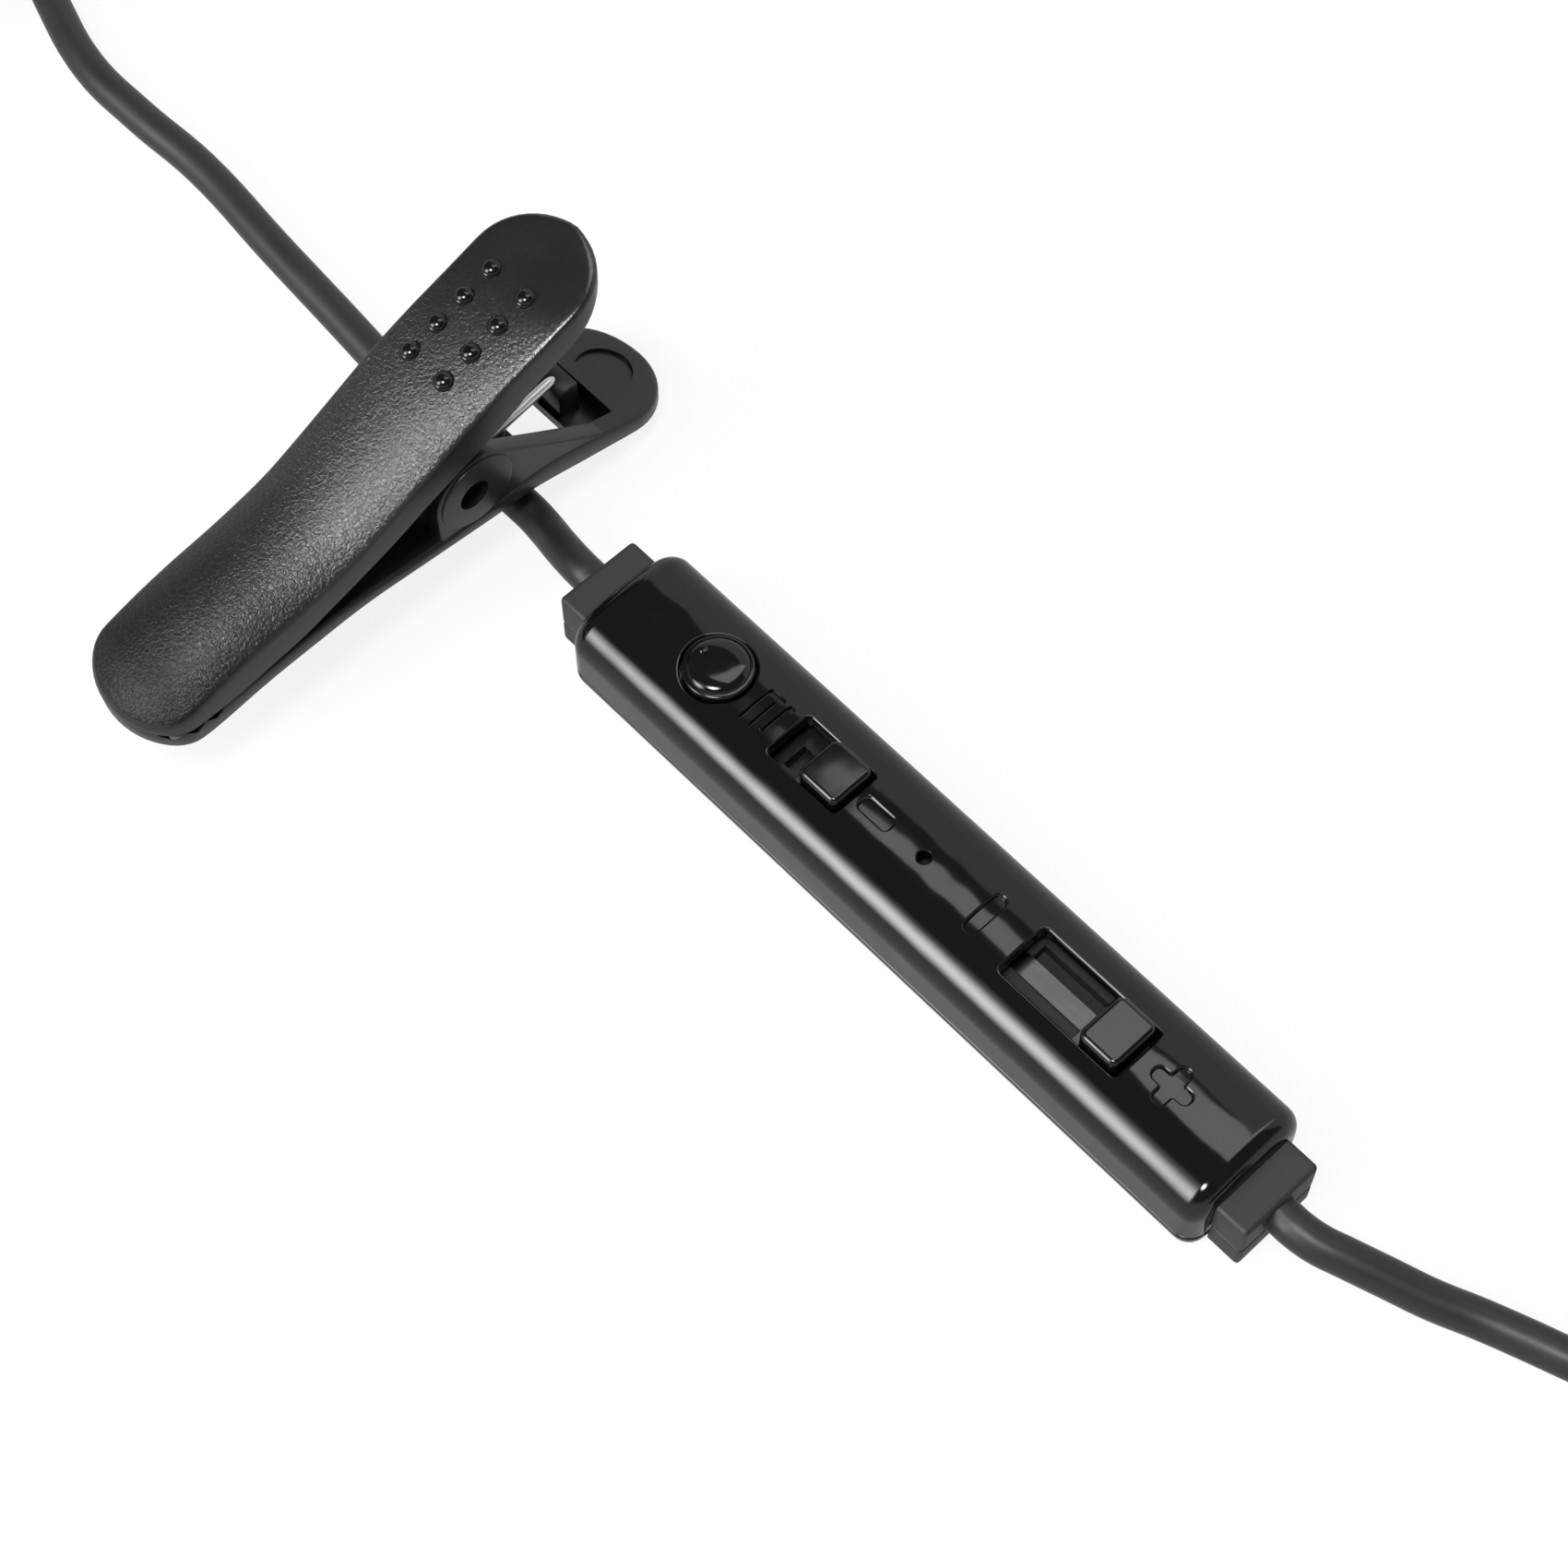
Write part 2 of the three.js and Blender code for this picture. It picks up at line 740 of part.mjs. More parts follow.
function resistiveTrack() {
  const half = volumeFootWidth / 2;
  const reach = volumeGrooveReach - slideGap;
  return block(
    volumeMiddle - reach, volumeMiddle + reach,
    volumeGrooveOffset - half, volumeGrooveOffset + half,
    volumeGrooveFloor, volumeGrooveFloor + trackThickness);
}

function coverPlate() {
  const half = volumeFrameLength / 2;
  return block(
    volumeMiddle - half, volumeMiddle + half,
    coverOffset - coverWidth / 2, coverOffset + coverWidth / 2,
    volumeFrameTop - coverThickness, volumeFrameTop);
}

add('volume_frame', volumeFrame(), matteBlack);
add('volume_track', resistiveTrack(), chipBlack);
add('volume_cover_plate', coverPlate(), steel);
add(
  'volume_knob',
  slideKnob(volumeKnobX, volumeKnobLength, volumeSlotWidth, volumeFrameTop, volumeFoot), glossBlack);
add('volume_wiper', wiper(volumeKnobX, volumeFoot), brass);

// Microphone capsule in its rubber boot, with a dust cloth under the hole

function microphoneBoot() {
  const outer = pillar(capsuleRadius + slideGap + bootWall, 0, 0, boardTop, boardTop + bootHeight);
  const bore = pillar(capsuleRadius + slideGap, 0, 0, boardTop - overrun, boardTop + bootHeight + overrun);
  return cut(outer, bore);
}

const capsuleBase = boardTop + seatGap;
const capsuleTop = capsuleBase + capsuleHeight;

function microphoneCapsule() {
  const can = pillar(capsuleRadius, 0, 0, capsuleBase, capsuleTop);
  const pins = [-1, 1].map((side) => pillar(
    capsulePinRadius, 0, side * capsuleRadius / 2, boardTop, capsuleBase + capsulePinRadius, 8));
  return join(can, ...pins);
}

add('microphone_boot', microphoneBoot(), rubberBlack);
add('microphone_capsule', microphoneCapsule(), nickel);
add('dust_cloth', pillar(capsuleRadius, 0, 0, capsuleTop, capsuleTop + clothThickness), rubberBlack);

// Cord stub: an outer block, a neck through the end wall and a flange inside it

function stub(side) {
  const outer = alongX(
    outline(barPoints(stubWidth, stubTop - stubBase).map(([u, v]) => [u, v + (stubTop + stubBase) / 2])),
    boxEnd + seatGap, stubFace, stubEdge);
  const half = stubNeckWidth / 2;
  const neck = block(stubInner, boxEnd + seatGap + stubEdge + slideGap, -half, half, stubNeckBase, stubNeckTop);
  const flangeHalf = stubWidth / 2;
  const flange = block(
    stubInner, stubInner + stubFlangeThickness, -flangeHalf, flangeHalf, wall + seatGap, stubNeckTop + seatGap);
  const whole = join(outer, neck, flange);
  return side > 0 ? whole : whole.mirror([1, 0, 0]);
}

add('plug_side_stub', stub(1), matteBlack);
add('clip_side_stub', stub(-1), matteBlack);

function lead(side, order) {
  const x0 = stubInner - slideGap;
  const z = boardTop + leadRadius + slideGap;
  const start = order * leadSpacing;
  const end = order * leadSpread;
  const points = [
    [side * x0, start, z], [side * (x0 - leadLength / 3), start + (end - start) / 6, z],
    [side * (x0 - leadLength * 2 / 3), end - (end - start) / 6, z], [side * (x0 - leadLength), end, z],
  ];
  return cordAlong(points, leadRadius, 6, leadLength / 6);
}

[['left', -1.5], ['right', -0.5], ['ground', 0.5], ['microphone', 1.5]].forEach(([name, order]) => {
  add(`plug_side_lead_${name}`, lead(1, order), name === 'ground' ? brass : whitePlastic);
});
[['left', -1], ['ground', 0], ['right', 1]].forEach(([name, order]) => {
  add(`clip_side_lead_${name}`, lead(-1, order), name === 'ground' ? brass : whitePlastic);
});

// Cord coils: the turns spiral in and out in layers and climb where the spiral reverses

const coilBase = tieThickness + tieGap + cordDiameter / 2;

function coilPoints(coil) {
  const turns = coil.layers * coil.turnsPerLayer;
  const steps = Math.round(turns * coilStepsPerTurn);
  const outer = coil.meanRadius + coil.turnsPerLayer * coilPitch / 2;
  const points = [];
  for (let i = 0; i <= steps; i += 1) {
    const turned = i / coilStepsPerTurn;
    const layer = Math.min(Math.floor(turned / coil.turnsPerLayer), coil.layers - 1);
    const along = turned - layer * coil.turnsPerLayer;
    const inward = layer % 2 === 0 ? along : coil.turnsPerLayer - along;
    const radius = outer - inward * coilPitch;
    let level = 0;
    for (let climb = 1; climb < coil.layers; climb += 1) {
      const share = Math.min(Math.max((turned - climb * coil.turnsPerLayer) * 2 + 0.5, 0), 1);
      level += share * share * (3 - 2 * share);
    }
    const angle = Math.PI / 2 + coil.sense * 2 * Math.PI * turned;
    points.push(new THREE.Vector3(
      coil.x + radius * Math.cos(angle), coil.y + radius * Math.sin(angle), coilBase + level * coilPitch));
  }
  const heading = new THREE.Vector3(-coil.sense, 0, 0);
  points.unshift(points[0].clone().addScaledVector(heading, -cordDiameter));
  points.push(points[points.length - 1].clone().addScaledVector(heading, cordDiameter));
  return points;
}

function leastGap(points, perTurn, diameter) {
  let least = Infinity;
  for (let i = 0; i < points.length; i += 1) {
    for (let k = i + Math.round(perTurn / 2); k < points.length; k += 1) {
      least = Math.min(least, points[i].distanceTo(points[k]));
    }
  }
  return least - diameter;
}

const plugCoil = {
  x: stubFace + plugCoilReach, y: plugCoilY, meanRadius: plugCoilMeanRadius, sense: -1,
  layers: plugCoilLayers, turnsPerLayer: plugCoilTurnsPerLayer,
};
const clipCoil = {
  x: -stubFace - clipCoilReach, y: clipCoilY, meanRadius: clipCoilMeanRadius, sense: 1,
  layers: clipCoilLayers, turnsPerLayer: clipCoilTurnsPerLayer,
};

function polylineLength(points) {
  let length = 0;
  for (let i = 1; i < points.length; i += 1) length += points[i].distanceTo(points[i - 1]);
  return length;
}

// Cord routes: distance out from the stub's face, or past the coil's middle in a tail, then Y and Z
const plugRunRoute = [
  [0, 0, 3.55], [0.6, 0, 3.55], [1.2, 0, 3.55], [2.7, 0.25, 3.4], [4.5, 0.95, 3.1], [6.9, 2, 2.5],
  [9.4, 3.1, 1.85], [11.9, 4.35, 1.4], [14.5, 5.4, 1.27], [17.3, 6.4, 1.27], [22.5, 8.3, 1.27],
  [28.5, 10.45, 1.35], [34.5, 12.8, 1.5], [40.5, 15.4, 1.7], [46, 17.6, 1.8], [51.7, 18.77, 1.85],
];
const plugTailRoute = [
  [2.8, 18.77, 10.85], [7.2, 18.35, 10.2], [12, 16.4, 8.4], [16.3, 13.2, 6], [19.4, 9.6, 4.1],
  [20.9, 6.6, 3.3], [21.2, 4, 3.1],
];
const clipRunRoute = [
  [0, 0, 3.55], [0.6, 0, 3.55], [1.2, 0, 3.55], [2.5, 0.15, 3.3], [4.3, 0.55, 2.6], [6.1, 1.05, 1.75],
  [7.9, 1.33, 1.4], [9.7, 1.35, 1.35], [12.4, 1.35, 1.35], [15.1, 1.35, 1.35], [18, 1.5, 1.32],
  [22, 1.85, 1.27], [27.5, 2.3, 1.27], [36.1, 2.9, 1.27], [45.1, 3.6, 1.27], [51.7, 3.35, 1.27],
  [57.4, 3.5, 1.27], [64.1, 5.3, 1.27], [69.5, 7.3, 1.4], [75, 9.6, 1.7], [80.2, 11, 1.85],
];
const clipTailRoute = [
  [2.8, 11, 4.85], [7.5, 10.3, 4.8], [13.3, 7.9, 4.5], [17.7, 3.7, 4], [19.7, -1, 3.75],
  [19.9, -4.5, 3.7],
];

function fromStub(side, route, start = 0) {
  return route.map(([out, y, z]) => [side * (stubFace + start + out), y, z]);
}

const plugCoilPoints = coilPoints(plugCoil);
const clipCoilPoints = coilPoints(clipCoil);
add('plug_cord_run', cordAlong(fromStub(1, plugRunRoute)), cordBlack);
add('plug_cord_coil', tubeThrough(plugCoilPoints, cordDiameter / 2, coilSides), cordBlack);
add('plug_cord_tail', cordAlong(fromStub(1, plugTailRoute, plugCoilReach)), cordBlack);
add('clip_cord_run', cordAlong(fromStub(-1, clipRunRoute)), cordBlack);
add('clip_cord_coil', tubeThrough(clipCoilPoints, cordDiameter / 2, coilSides), cordBlack);
add('clip_cord_tail', cordAlong(fromStub(-1, clipTailRoute, clipCoilReach)), cordBlack);

// A tie is a flat band round the turns at the side of the coil nearest -Y
function coilTie(coil, points) {
  const bundle = points.filter((p) => Math.abs(p.x - coil.x) < tieReach && p.y < coil.y);
  const radius = cordDiameter / 2 + tieGap;
  const y0 = Math.min(...bundle.map((p) => p.y)) - radius;
  const y1 = Math.max(...bundle.map((p) => p.y)) + radius;
  const z1 = Math.max(...bundle.map((p) => p.z)) + radius;
  const [x0, x1] = [coil.x - tieWidth / 2, coil.x + tieWidth / 2];
  const t = tieThickness;
  return cut(
    block(x0, x1, y0 - t, y1 + t, 0, z1 + t),
    block(x0 - overrun, x1 + overrun, y0, y1, t, z1));
}

add('plug_coil_tie', coilTie(plugCoil, plugCoilPoints), rubberBlack);
add('clip_coil_tie', coilTie(clipCoil, clipCoilPoints), rubberBlack);

for (const [name, points] of [['plug side coil', plugCoilPoints], ['clip side coil', clipCoilPoints]]) {
  const gap = leastGap(points, coilStepsPerTurn, cordDiameter);
  console.log(`${name}: length ${polylineLength(points).toFixed(1)} mm, least gap ${gap.toFixed(2)} mm`);
}

// Plug: everything is turned about one axis that points to -Y from the cord

function turnedAlongY(profile, x, y, z, sides = 24) {
  return turned(profile, sides).rotate([90, 0, 0]).translate(x, y, z);
}

function reliefProfile(start, gripRadius, gripLength) {
  const cordSeat = cordDiameter / 2 + slideGap;
  return [
    [0, start], [cordSeat, start], [reliefRadius, start + reliefLength - slideGap],
    [gripRadius - slideGap, start + reliefLength], [gripRadius, start + reliefLength + 2 * slideGap],
    [gripRadius, start + reliefLength + gripLength], [0, start + reliefLength + gripLength],
  ];
}

const plugX = stubFace + plugReach;

function plugPieces() {
  let at = 0;
  add('plug_grip', turnedAlongY(reliefProfile(0, plugGripRadius, plugGripLength), plugX, plugY, plugHeight),
    matteBlack);
  at += reliefLength + plugGripLength;
  const disc = (name, radius, length, look) => {
    const profile = [[0, at], [radius, at], [radius, at + length], [0, at + length]];
    add(name, turnedAlongY(profile, plugX, plugY, plugHeight), look);
    at += length;
  };
  disc('plug_collar', plugCollarRadius, plugCollarLength, nickel);
  disc('plug_sleeve', jackRadius, sleeveLength, nickel);
  disc('plug_insulator_1', insulatorRadius, insulatorLength, chipBlack);
  disc('plug_pole_1', jackRadius, poleLength, nickel);
  disc('plug_insulator_2', insulatorRadius, insulatorLength, chipBlack);
  disc('plug_pole_2', jackRadius, poleLength, nickel);
  disc('plug_insulator_3', insulatorRadius, insulatorLength, chipBlack);
  const neckShares = [[0.8, 0.12], [0.58, 0.3], [1, 0.62], [0.86, 0.78]];
  const tip = [[0, at], [jackRadius, at]];
  for (const [radiusShare, lengthShare] of neckShares) {
    tip.push([jackRadius * radiusShare, at + tipLength * lengthShare]);
  }
  tip.push([0, at + tipLength]);
  add('plug_tip', turnedAlongY(tip, plugX, plugY, plugHeight), nickel);
}

plugPieces();

// In-line socket: a moulded shell with a bored insert, a front bush and two spring contacts

const socketMouth = reliefLength + socketLength;
const insertStart = socketMouth - socketBushLength - socketInsertLength;

function socketShell() {
  const body = turned(reliefProfile(0, socketRadius, socketLength));
  const deep = insertStart;
  const bore = turned([
    [0, deep], [socketInsertRadius, deep], [socketInsertRadius, socketMouth - socketBushLength],
    [socketBushRadius, socketMouth - socketBushLength], [socketBushRadius, socketMouth + overrun],
    [0, socketMouth + overrun],
  ]);
  return cut(body, bore);
}

function socketInsert() {
  const top = socketMouth - socketBushLength;
  const seat = socketInsertRadius - slideGap;
  const body = turned([[0, insertStart], [seat, insertStart], [seat, top], [0, top]]);
  const bore = pillar(socketBoreRadius, 0, 0, insertStart + socketBushLength, top + overrun);
  const slot = contactWidth / 2 + slideGap;
  const pocket = block(
    -socketInsertRadius, socketInsertRadius, -slot, slot,
    insertStart + socketBushLength, insertStart + socketBushLength + contactLength + slideGap);
  return cut(body, bore, pocket);
}

function socketBush() {
  const base = socketMouth - socketBushLength;
  const outer = pillar(socketBushRadius - slideGap, 0, 0, base, socketMouth);
  return cut(outer, pillar(socketBoreRadius, 0, 0, base - overrun, socketMouth + overrun));
}

function socketContact(side) {
  const base = insertStart + socketBushLength;
  const inner = socketBoreRadius + slideGap;
  const edges = [side * inner, side * (inner + contactThickness)].sort((a, b) => a - b);
  return block(edges[0], edges[1], -contactWidth / 2, contactWidth / 2, base, base + contactLength);
}

function inSocket(solid) {
  return solid.rotate([90, 0, 0]).translate(-stubFace - socketReach, socketY, socketHeight);
}

add('socket_shell', inSocket(socketShell()), matteBlack);
add('socket_insert', inSocket(socketInsert()), chipBlack);
add('socket_bush', inSocket(socketBush()), nickel);
add('socket_contact_tip', inSocket(socketContact(1)), brass);
add('socket_contact_ring', inSocket(socketContact(-1)), brass);

// Lapel clip, drawn about its pivot: +Y to the handles, -Y to the jaws

const clip = new THREE.Group();
clip.position.set(clipX, pivotY, pivotZ);
group.add(clip);

// Side outlines as shares of the clip's span and height
const upperTopShares = [
  [0.341, 0.5794], [0.252, 0.5402], [0.155, 0.4536], [0.078, 0.4124], [-0.003, 0.3546],
  [-0.083, 0.2928], [-0.165, 0.2309], [-0.24, 0.1814], [-0.337, 0.1423], [-0.43, 0.1216],
  [-0.52, 0.099], [-0.6, 0.0763], [-0.645, 0.0536],
];
const upperRimShares = [
  [-0.407, -0.0536], [-0.312, -0.0268], [-0.175, 0.0536], [-0.075, 0.1381], [0.019, 0.2062],
  [0.089, 0.266], [0.135, 0.3196], [0.203, 0.3711], [0.265, 0.433], [0.341, 0.5155],
];
const lowerTopShares = [
  [-0.43, -0.0948], [-0.325, -0.0845], [-0.222, -0.0948], [-0.125, -0.1216], [0, -0.1423],
  [0.122, -0.1464], [0.2, -0.1794], [0.337, -0.2701], [0.45, -0.3423],
];
const lowerBaseShares = [
  [0.45, -0.4186], [0.337, -0.3608], [0.237, -0.3052], [0.122, -0.2412], [0.04, -0.2268],
  [-0.095, -0.1938], [-0.227, -0.1629], [-0.332, -0.1649], [-0.437, -0.1753], [-0.547, -0.2021],
  [-0.63, -0.1856],
];

function scaled(shares) {
  return shares.map(([y, z]) => [y * clipSpan, z * clipHeight]);
}

function smooth(points, perSpan = 2) {
  const curve = new THREE.SplineCurve(points.map(([y, z]) => new THREE.Vector2(y, z)));
  return curve.getPoints((points.length - 1) * perSpan).map((p) => [p.x, p.y]);
}

// The zigzag bite line, from the tip of the jaws back to where the teeth start
function biteLine(offset) {
  const line = [[toothStart - toothPitch * (toothCount + 0.5), toothLine + offset]];
  for (let i = toothCount; i > 0; i -= 1) {
    line.push([toothStart - toothPitch * i, toothLine + offset]);
    line.push([toothStart - toothPitch * (i - 0.5), toothLine - toothHeight + offset]);
  }
  line.push([toothStart, toothLine + offset]);
  return line;
}

// A lever seen from above: a half round jaw end and a handle end that may be fuller on its far side
function leverPlan(handleReach, jawReach, nearDepth, farDepth) {
  const [a, b] = [handleWidth / 2, jawWidth / 2];
  const quarter = Math.PI / 2;
  const shape = new THREE.Shape();
  shape.moveTo(-b, b - jawReach);
  shape.absarc(0, b - jawReach, b, Math.PI, 2 * Math.PI, false);
  shape.absellipse(0, handleReach - nearDepth, a, nearDepth, 0, quarter, false);
  shape.absellipse(0, handleReach - farDepth, a, farDepth, quarter, Math.PI, false);
  shape.closePath();
  return shape;
}

function innerPlan(handleReach, jawReach, inset) {
  const [a, b] = [handleWidth / 2 - inset, jawWidth / 2 - inset];
  const shape = new THREE.Shape();
  shape.moveTo(-b, -jawReach);
  shape.lineTo(b, -jawReach);
  shape.absarc(0, handleReach - a - inset, a, 0, Math.PI, false);
  shape.closePath();
  return shape;
}

const toothPitch = toothPitchShare * clipSpan;
const toothStart = toothStartShare * clipSpan;
const windowStart = windowStartShare * clipSpan;
const windowEnd = windowEndShare * clipSpan;
const pocketEnd = pocketEndShare * clipSpan;
const recessStart = recessStartShare * clipSpan;
const recessPlace = recessPlaceShare * clipSpan;
const seatPlace = seatPlaceShare * clipSpan;
const ribEnd = ribEndShare * clipSpan;
const upperHandleReach = upperTopShares[0][0] * clipSpan;
const upperJawReach = -upperTopShares[upperTopShares.length - 1][0] * clipSpan;
const lowerHandleReach = lowerTopShares[lowerTopShares.length - 1][0] * clipSpan;
const lowerJawReach = -lowerBaseShares[lowerBaseShares.length - 1][0] * clipSpan;
const innerEarInside = springPitch * (springFullTurns + 0.43) / 2 + wireRadius + seatGap;
const innerEarOutside = innerEarInside + innerEarThickness;
const earOutside = handleWidth / 2 - seatGap / 2;
const earInside = earOutside - earThickness;

function upperLever() {
  const top = smooth(scaled(upperTopShares));
  const rim = smooth(scaled(upperRimShares));
  const side = outline([...top, ...biteLine(jawGap / 2), ...rim]);
  const half = handleWidth / 2;
  const plan = alongZ(leverPlan(upperHandleReach, upperJawReach, handleWidth / 2, handleWidth / 2), -clipSpan, clipSpan);
  const body = alongX(side, -half, half, leverEdge).intersect(plan);
  const ceiling = top.map(([y, z]) => [y, z - leverSkin]);
  const hollowSide = outline([...ceiling, [-clipSpan, -clipSpan], [clipSpan, -clipSpan]]);
  const hollow = alongX(hollowSide, -half, half)
    .intersect(alongZ(innerPlan(upperHandleReach, -toothStart - toothPitch, rimThickness), -clipSpan, clipSpan));
  let lever = cut(body, hollow);
  for (const sideX of [-1, 1]) {
    const edges = [sideX * innerEarInside, sideX * innerEarOutside].sort((a, b) => a - b);
    const web = new THREE.Shape();
    web.moveTo(-innerEarRadius, 0);
    web.absarc(0, 0, innerEarRadius, Math.PI, 2 * Math.PI, false);
    web.lineTo(innerEarRadius, heightOn(top, innerEarRadius));
    web.lineTo(-innerEarRadius, heightOn(top, -innerEarRadius));
    web.closePath();
    const ear = alongX(web, edges[0], edges[1], 0, 6);
    lever = lever.add(cut(ear, alongX(aboveLine(top), edges[0] - overrun, edges[1] + overrun)));
  }
  lever = cut(lever, axle(pinRadius + pinRunning, -half, half, 0, 0));
  for (let row = 0; row < 2; row += 1) {
    for (let i = 0; i < dotsPerRow; i += 1) {
      const x = dotRowOffset + (row - 0.5) * dotRowSpacing;
      const y = (dotFirstShare + i * dotPitchShare) * clipSpan;
      lever = lever.add(pillar(dotRadius, x, y, heightOn(top, y) - leverSkin / 2, heightOn(top, y) + dotRise, 8));
    }
  }
  return lever;
}

function heightOn(line, y) {
  for (let i = 1; i < line.length; i += 1) {
    const [a, b] = [line[i - 1], line[i]];
    if ((a[0] - y) * (b[0] - y) <= 0) return a[1] + (b[1] - a[1]) * (y - a[0]) / (b[0] - a[0]);
  }
  return line[0][1];
}

// What lies above the middle of the upper lever's skin
function aboveLine(top) {
  const middle = top.map(([y, z]) => [y, z - leverSkin / 2]);
  return outline([...middle, [-clipSpan, clipSpan], [clipSpan, clipSpan]]);
}

function earOutline(floor) {
  const lean = Math.atan(1 / ribSlope);
  const shape = new THREE.Shape();
  const left = earShift - earRadius;
  shape.moveTo(left, heightOn(floor, left) - leverSkin);
  shape.lineTo(ribEnd, heightOn(floor, ribEnd) - leverSkin / 2);
  shape.lineTo(ribEnd, heightOn(floor, ribEnd));
  shape.absarc(earShift, 0, earRadius, lean, Math.PI, false);
  shape.closePath();
  return shape;
}

// A cut that follows the lower lever's top face at an even depth between two places
function faceCut(top, depth, start, end) {
  const places = top.map(([y]) => y).filter((y) => y > start && y < end);
  const line = [start, ...places, end].map((y) => [y, heightOn(top, y) - depth]);
  return outline([...line, [end, clipSpan], [start, clipSpan]]);
}

function lowerLever() {
  const top = smooth(scaled(lowerTopShares));
  const base = smooth(scaled(lowerBaseShares));
  const side = outline([...biteLine(-jawGap / 2), ...top, ...base]);
  const half = handleWidth / 2;
  const plan = alongZ(leverPlan(lowerHandleReach, lowerJawReach, handleEndNear, handleEndFar), -clipSpan, clipSpan);
  let lever = alongX(side, -half, half, leverEdge).intersect(plan);
  for (const sideX of [-1, 1]) {
    const edges = [sideX * earInside, sideX * earOutside].sort((a, b) => a - b);
    lever = lever.add(alongX(earOutline(top), edges[0], edges[1], 0, 6));
  }
  const recessEnd = recessPlace + recessRadius;
  const recess = alongX(faceCut(top, recessDepth, recessStart, recessEnd), -half, half);
  const pocketHalf = earInside;
  lever = cut(
    lever,
    axle(pinRadius + pinSeat, -half - overrun, half + overrun, 0, 0),
    block(-windowWidth / 2, windowWidth / 2, windowStart, windowEnd, -clipSpan, 0),
    alongX(faceCut(top, pocketDepth, windowEnd - slideGap, pocketEnd), -pocketHalf, pocketHalf),
    recess.intersect(pillar(recessRadius, -slideGap, recessPlace, -clipSpan, clipSpan)),
    pillar(ringStudRadius + ringStudGap, 0, ringPlace, -clipSpan, 0));
  const seatX = lowerLegEnd[0];
  const seatBase = heightOn(top, seatPlace + seatLength) - pocketDepth - slideGap;
  return lever.add(block(
    seatX - seatWidth / 2, seatX + seatWidth / 2, seatPlace, seatPlace + seatLength, seatBase, seatTop));
}

function pivotPin() {
  const reach = earOutside - pinRecess;
  return axle(pinRadius, -reach, reach, 0, 0);
}

// Torsion spring: lower leg, turns about the pin, upper leg, as one wire
function springPoints() {
  const [legX, legZ] = lowerLegEnd;
  const legY = seatPlace + lowerLegSeat;
  const startAngle = (-90 + lowerLegAngle) * degrees;
  const leaveAngle = (90 + upperLegAngle) * degrees;
  const sweep = startAngle - leaveAngle + 2 * Math.PI * (springFullTurns + 1);
  const turns = sweep / (2 * Math.PI);
  const half = springPitch * turns / 2;
  const points = [new THREE.Vector3(legX, legY, legZ)];
  const steps = Math.round(turns * springStepsPerTurn);
  const at = (share) => {
    const angle = startAngle - share * sweep;
    return new THREE.Vector3(
      half - 2 * half * share, springRadius * Math.cos(angle), springRadius * Math.sin(angle));
  };
  const first = at(0);
  points.push(new THREE.Vector3(legX, legY, legZ).lerp(first, 0.5));
  for (let i = 0; i <= steps; i += 1) points.push(at(i / steps));
  const last = points[points.length - 1];
  const heading = new THREE.Vector3(0, Math.cos(upperLegAngle * degrees), Math.sin(upperLegAngle * degrees));
  points.push(last.clone().addScaledVector(heading, upperLegReach / 2));
  points.push(last.clone().addScaledVector(heading, upperLegReach));
  return points;
}

function cordRing() {
  const mouth = ringMouthAngle * degrees;
  const shape = new THREE.Shape();
  shape.absarc(0, 0, ringOuter, -mouth, Math.PI + mouth, false);
  shape.absarc(0, 0, ringBore, Math.PI + mouth, -mouth, true);
  shape.closePath();
  const hoop = alongX(shape, -ringLength / 2, ringLength / 2, 0, 8);
  const drop = ringBossTop - ringCordHeight;
  const boss = cut(
    pillar(ringBossRadius, 0, 0, ringBore / 2, drop),
    axle(ringBore, -ringLength, ringLength, 0, 0, 24));
  const plateTop = heightOn(smooth(scaled(lowerTopShares)), ringPlace) + pivotZ - ringCordHeight;
  const headBase = plateTop + ringStudRise;
  const stud = pillar(ringStudRadius, 0, 0, drop - ringStudRise, headBase + ringStudHeadThickness / 2);
  const head = pillar(ringStudHeadRadius, 0, 0, headBase, headBase + ringStudHeadThickness);
  return join(hoop, boss, stud, head);
}

add('clip_upper_lever', upperLever(), matteBlack, clip);
add('clip_lower_lever', lowerLever(), matteBlack, clip);
add('clip_pivot_pin', pivotPin(), steel, clip);
const spring = springPoints();
add('clip_spring', tubeThrough(spring, wireRadius, springSides), steel, clip);
const ringMesh = add('clip_cord_ring', cordRing(), matteBlack);
ringMesh.position.set(clipX, pivotY + ringPlace, ringCordHeight);

const springTurns = spring.slice(2, -2);
const springGap = leastGap(springTurns, springStepsPerTurn, 2 * wireRadius);
console.log(`clip spring: least gap ${springGap.toFixed(2)} mm`);

export default group;
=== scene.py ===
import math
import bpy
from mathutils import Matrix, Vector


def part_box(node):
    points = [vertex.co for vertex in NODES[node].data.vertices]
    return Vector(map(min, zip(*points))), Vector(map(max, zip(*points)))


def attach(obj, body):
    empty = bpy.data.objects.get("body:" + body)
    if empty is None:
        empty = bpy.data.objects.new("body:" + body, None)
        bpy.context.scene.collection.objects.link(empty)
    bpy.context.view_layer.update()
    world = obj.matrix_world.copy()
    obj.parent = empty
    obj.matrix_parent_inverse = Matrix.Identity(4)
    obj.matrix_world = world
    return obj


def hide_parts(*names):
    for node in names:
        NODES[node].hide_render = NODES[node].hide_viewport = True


bl_info = {
    "name": "Lavalier microphone with lapel clip",
    "version": (1, 0, 0),
    "blender": (4, 5, 0),
    "location": "3D View > Sidebar > Lavalier",
    "description": "Builds an in-line microphone remote, its cords, plug, socket and spring lapel clip",
    "category": "Add Mesh",
}

import bmesh
import bpy
from mathutils import Matrix, Vector

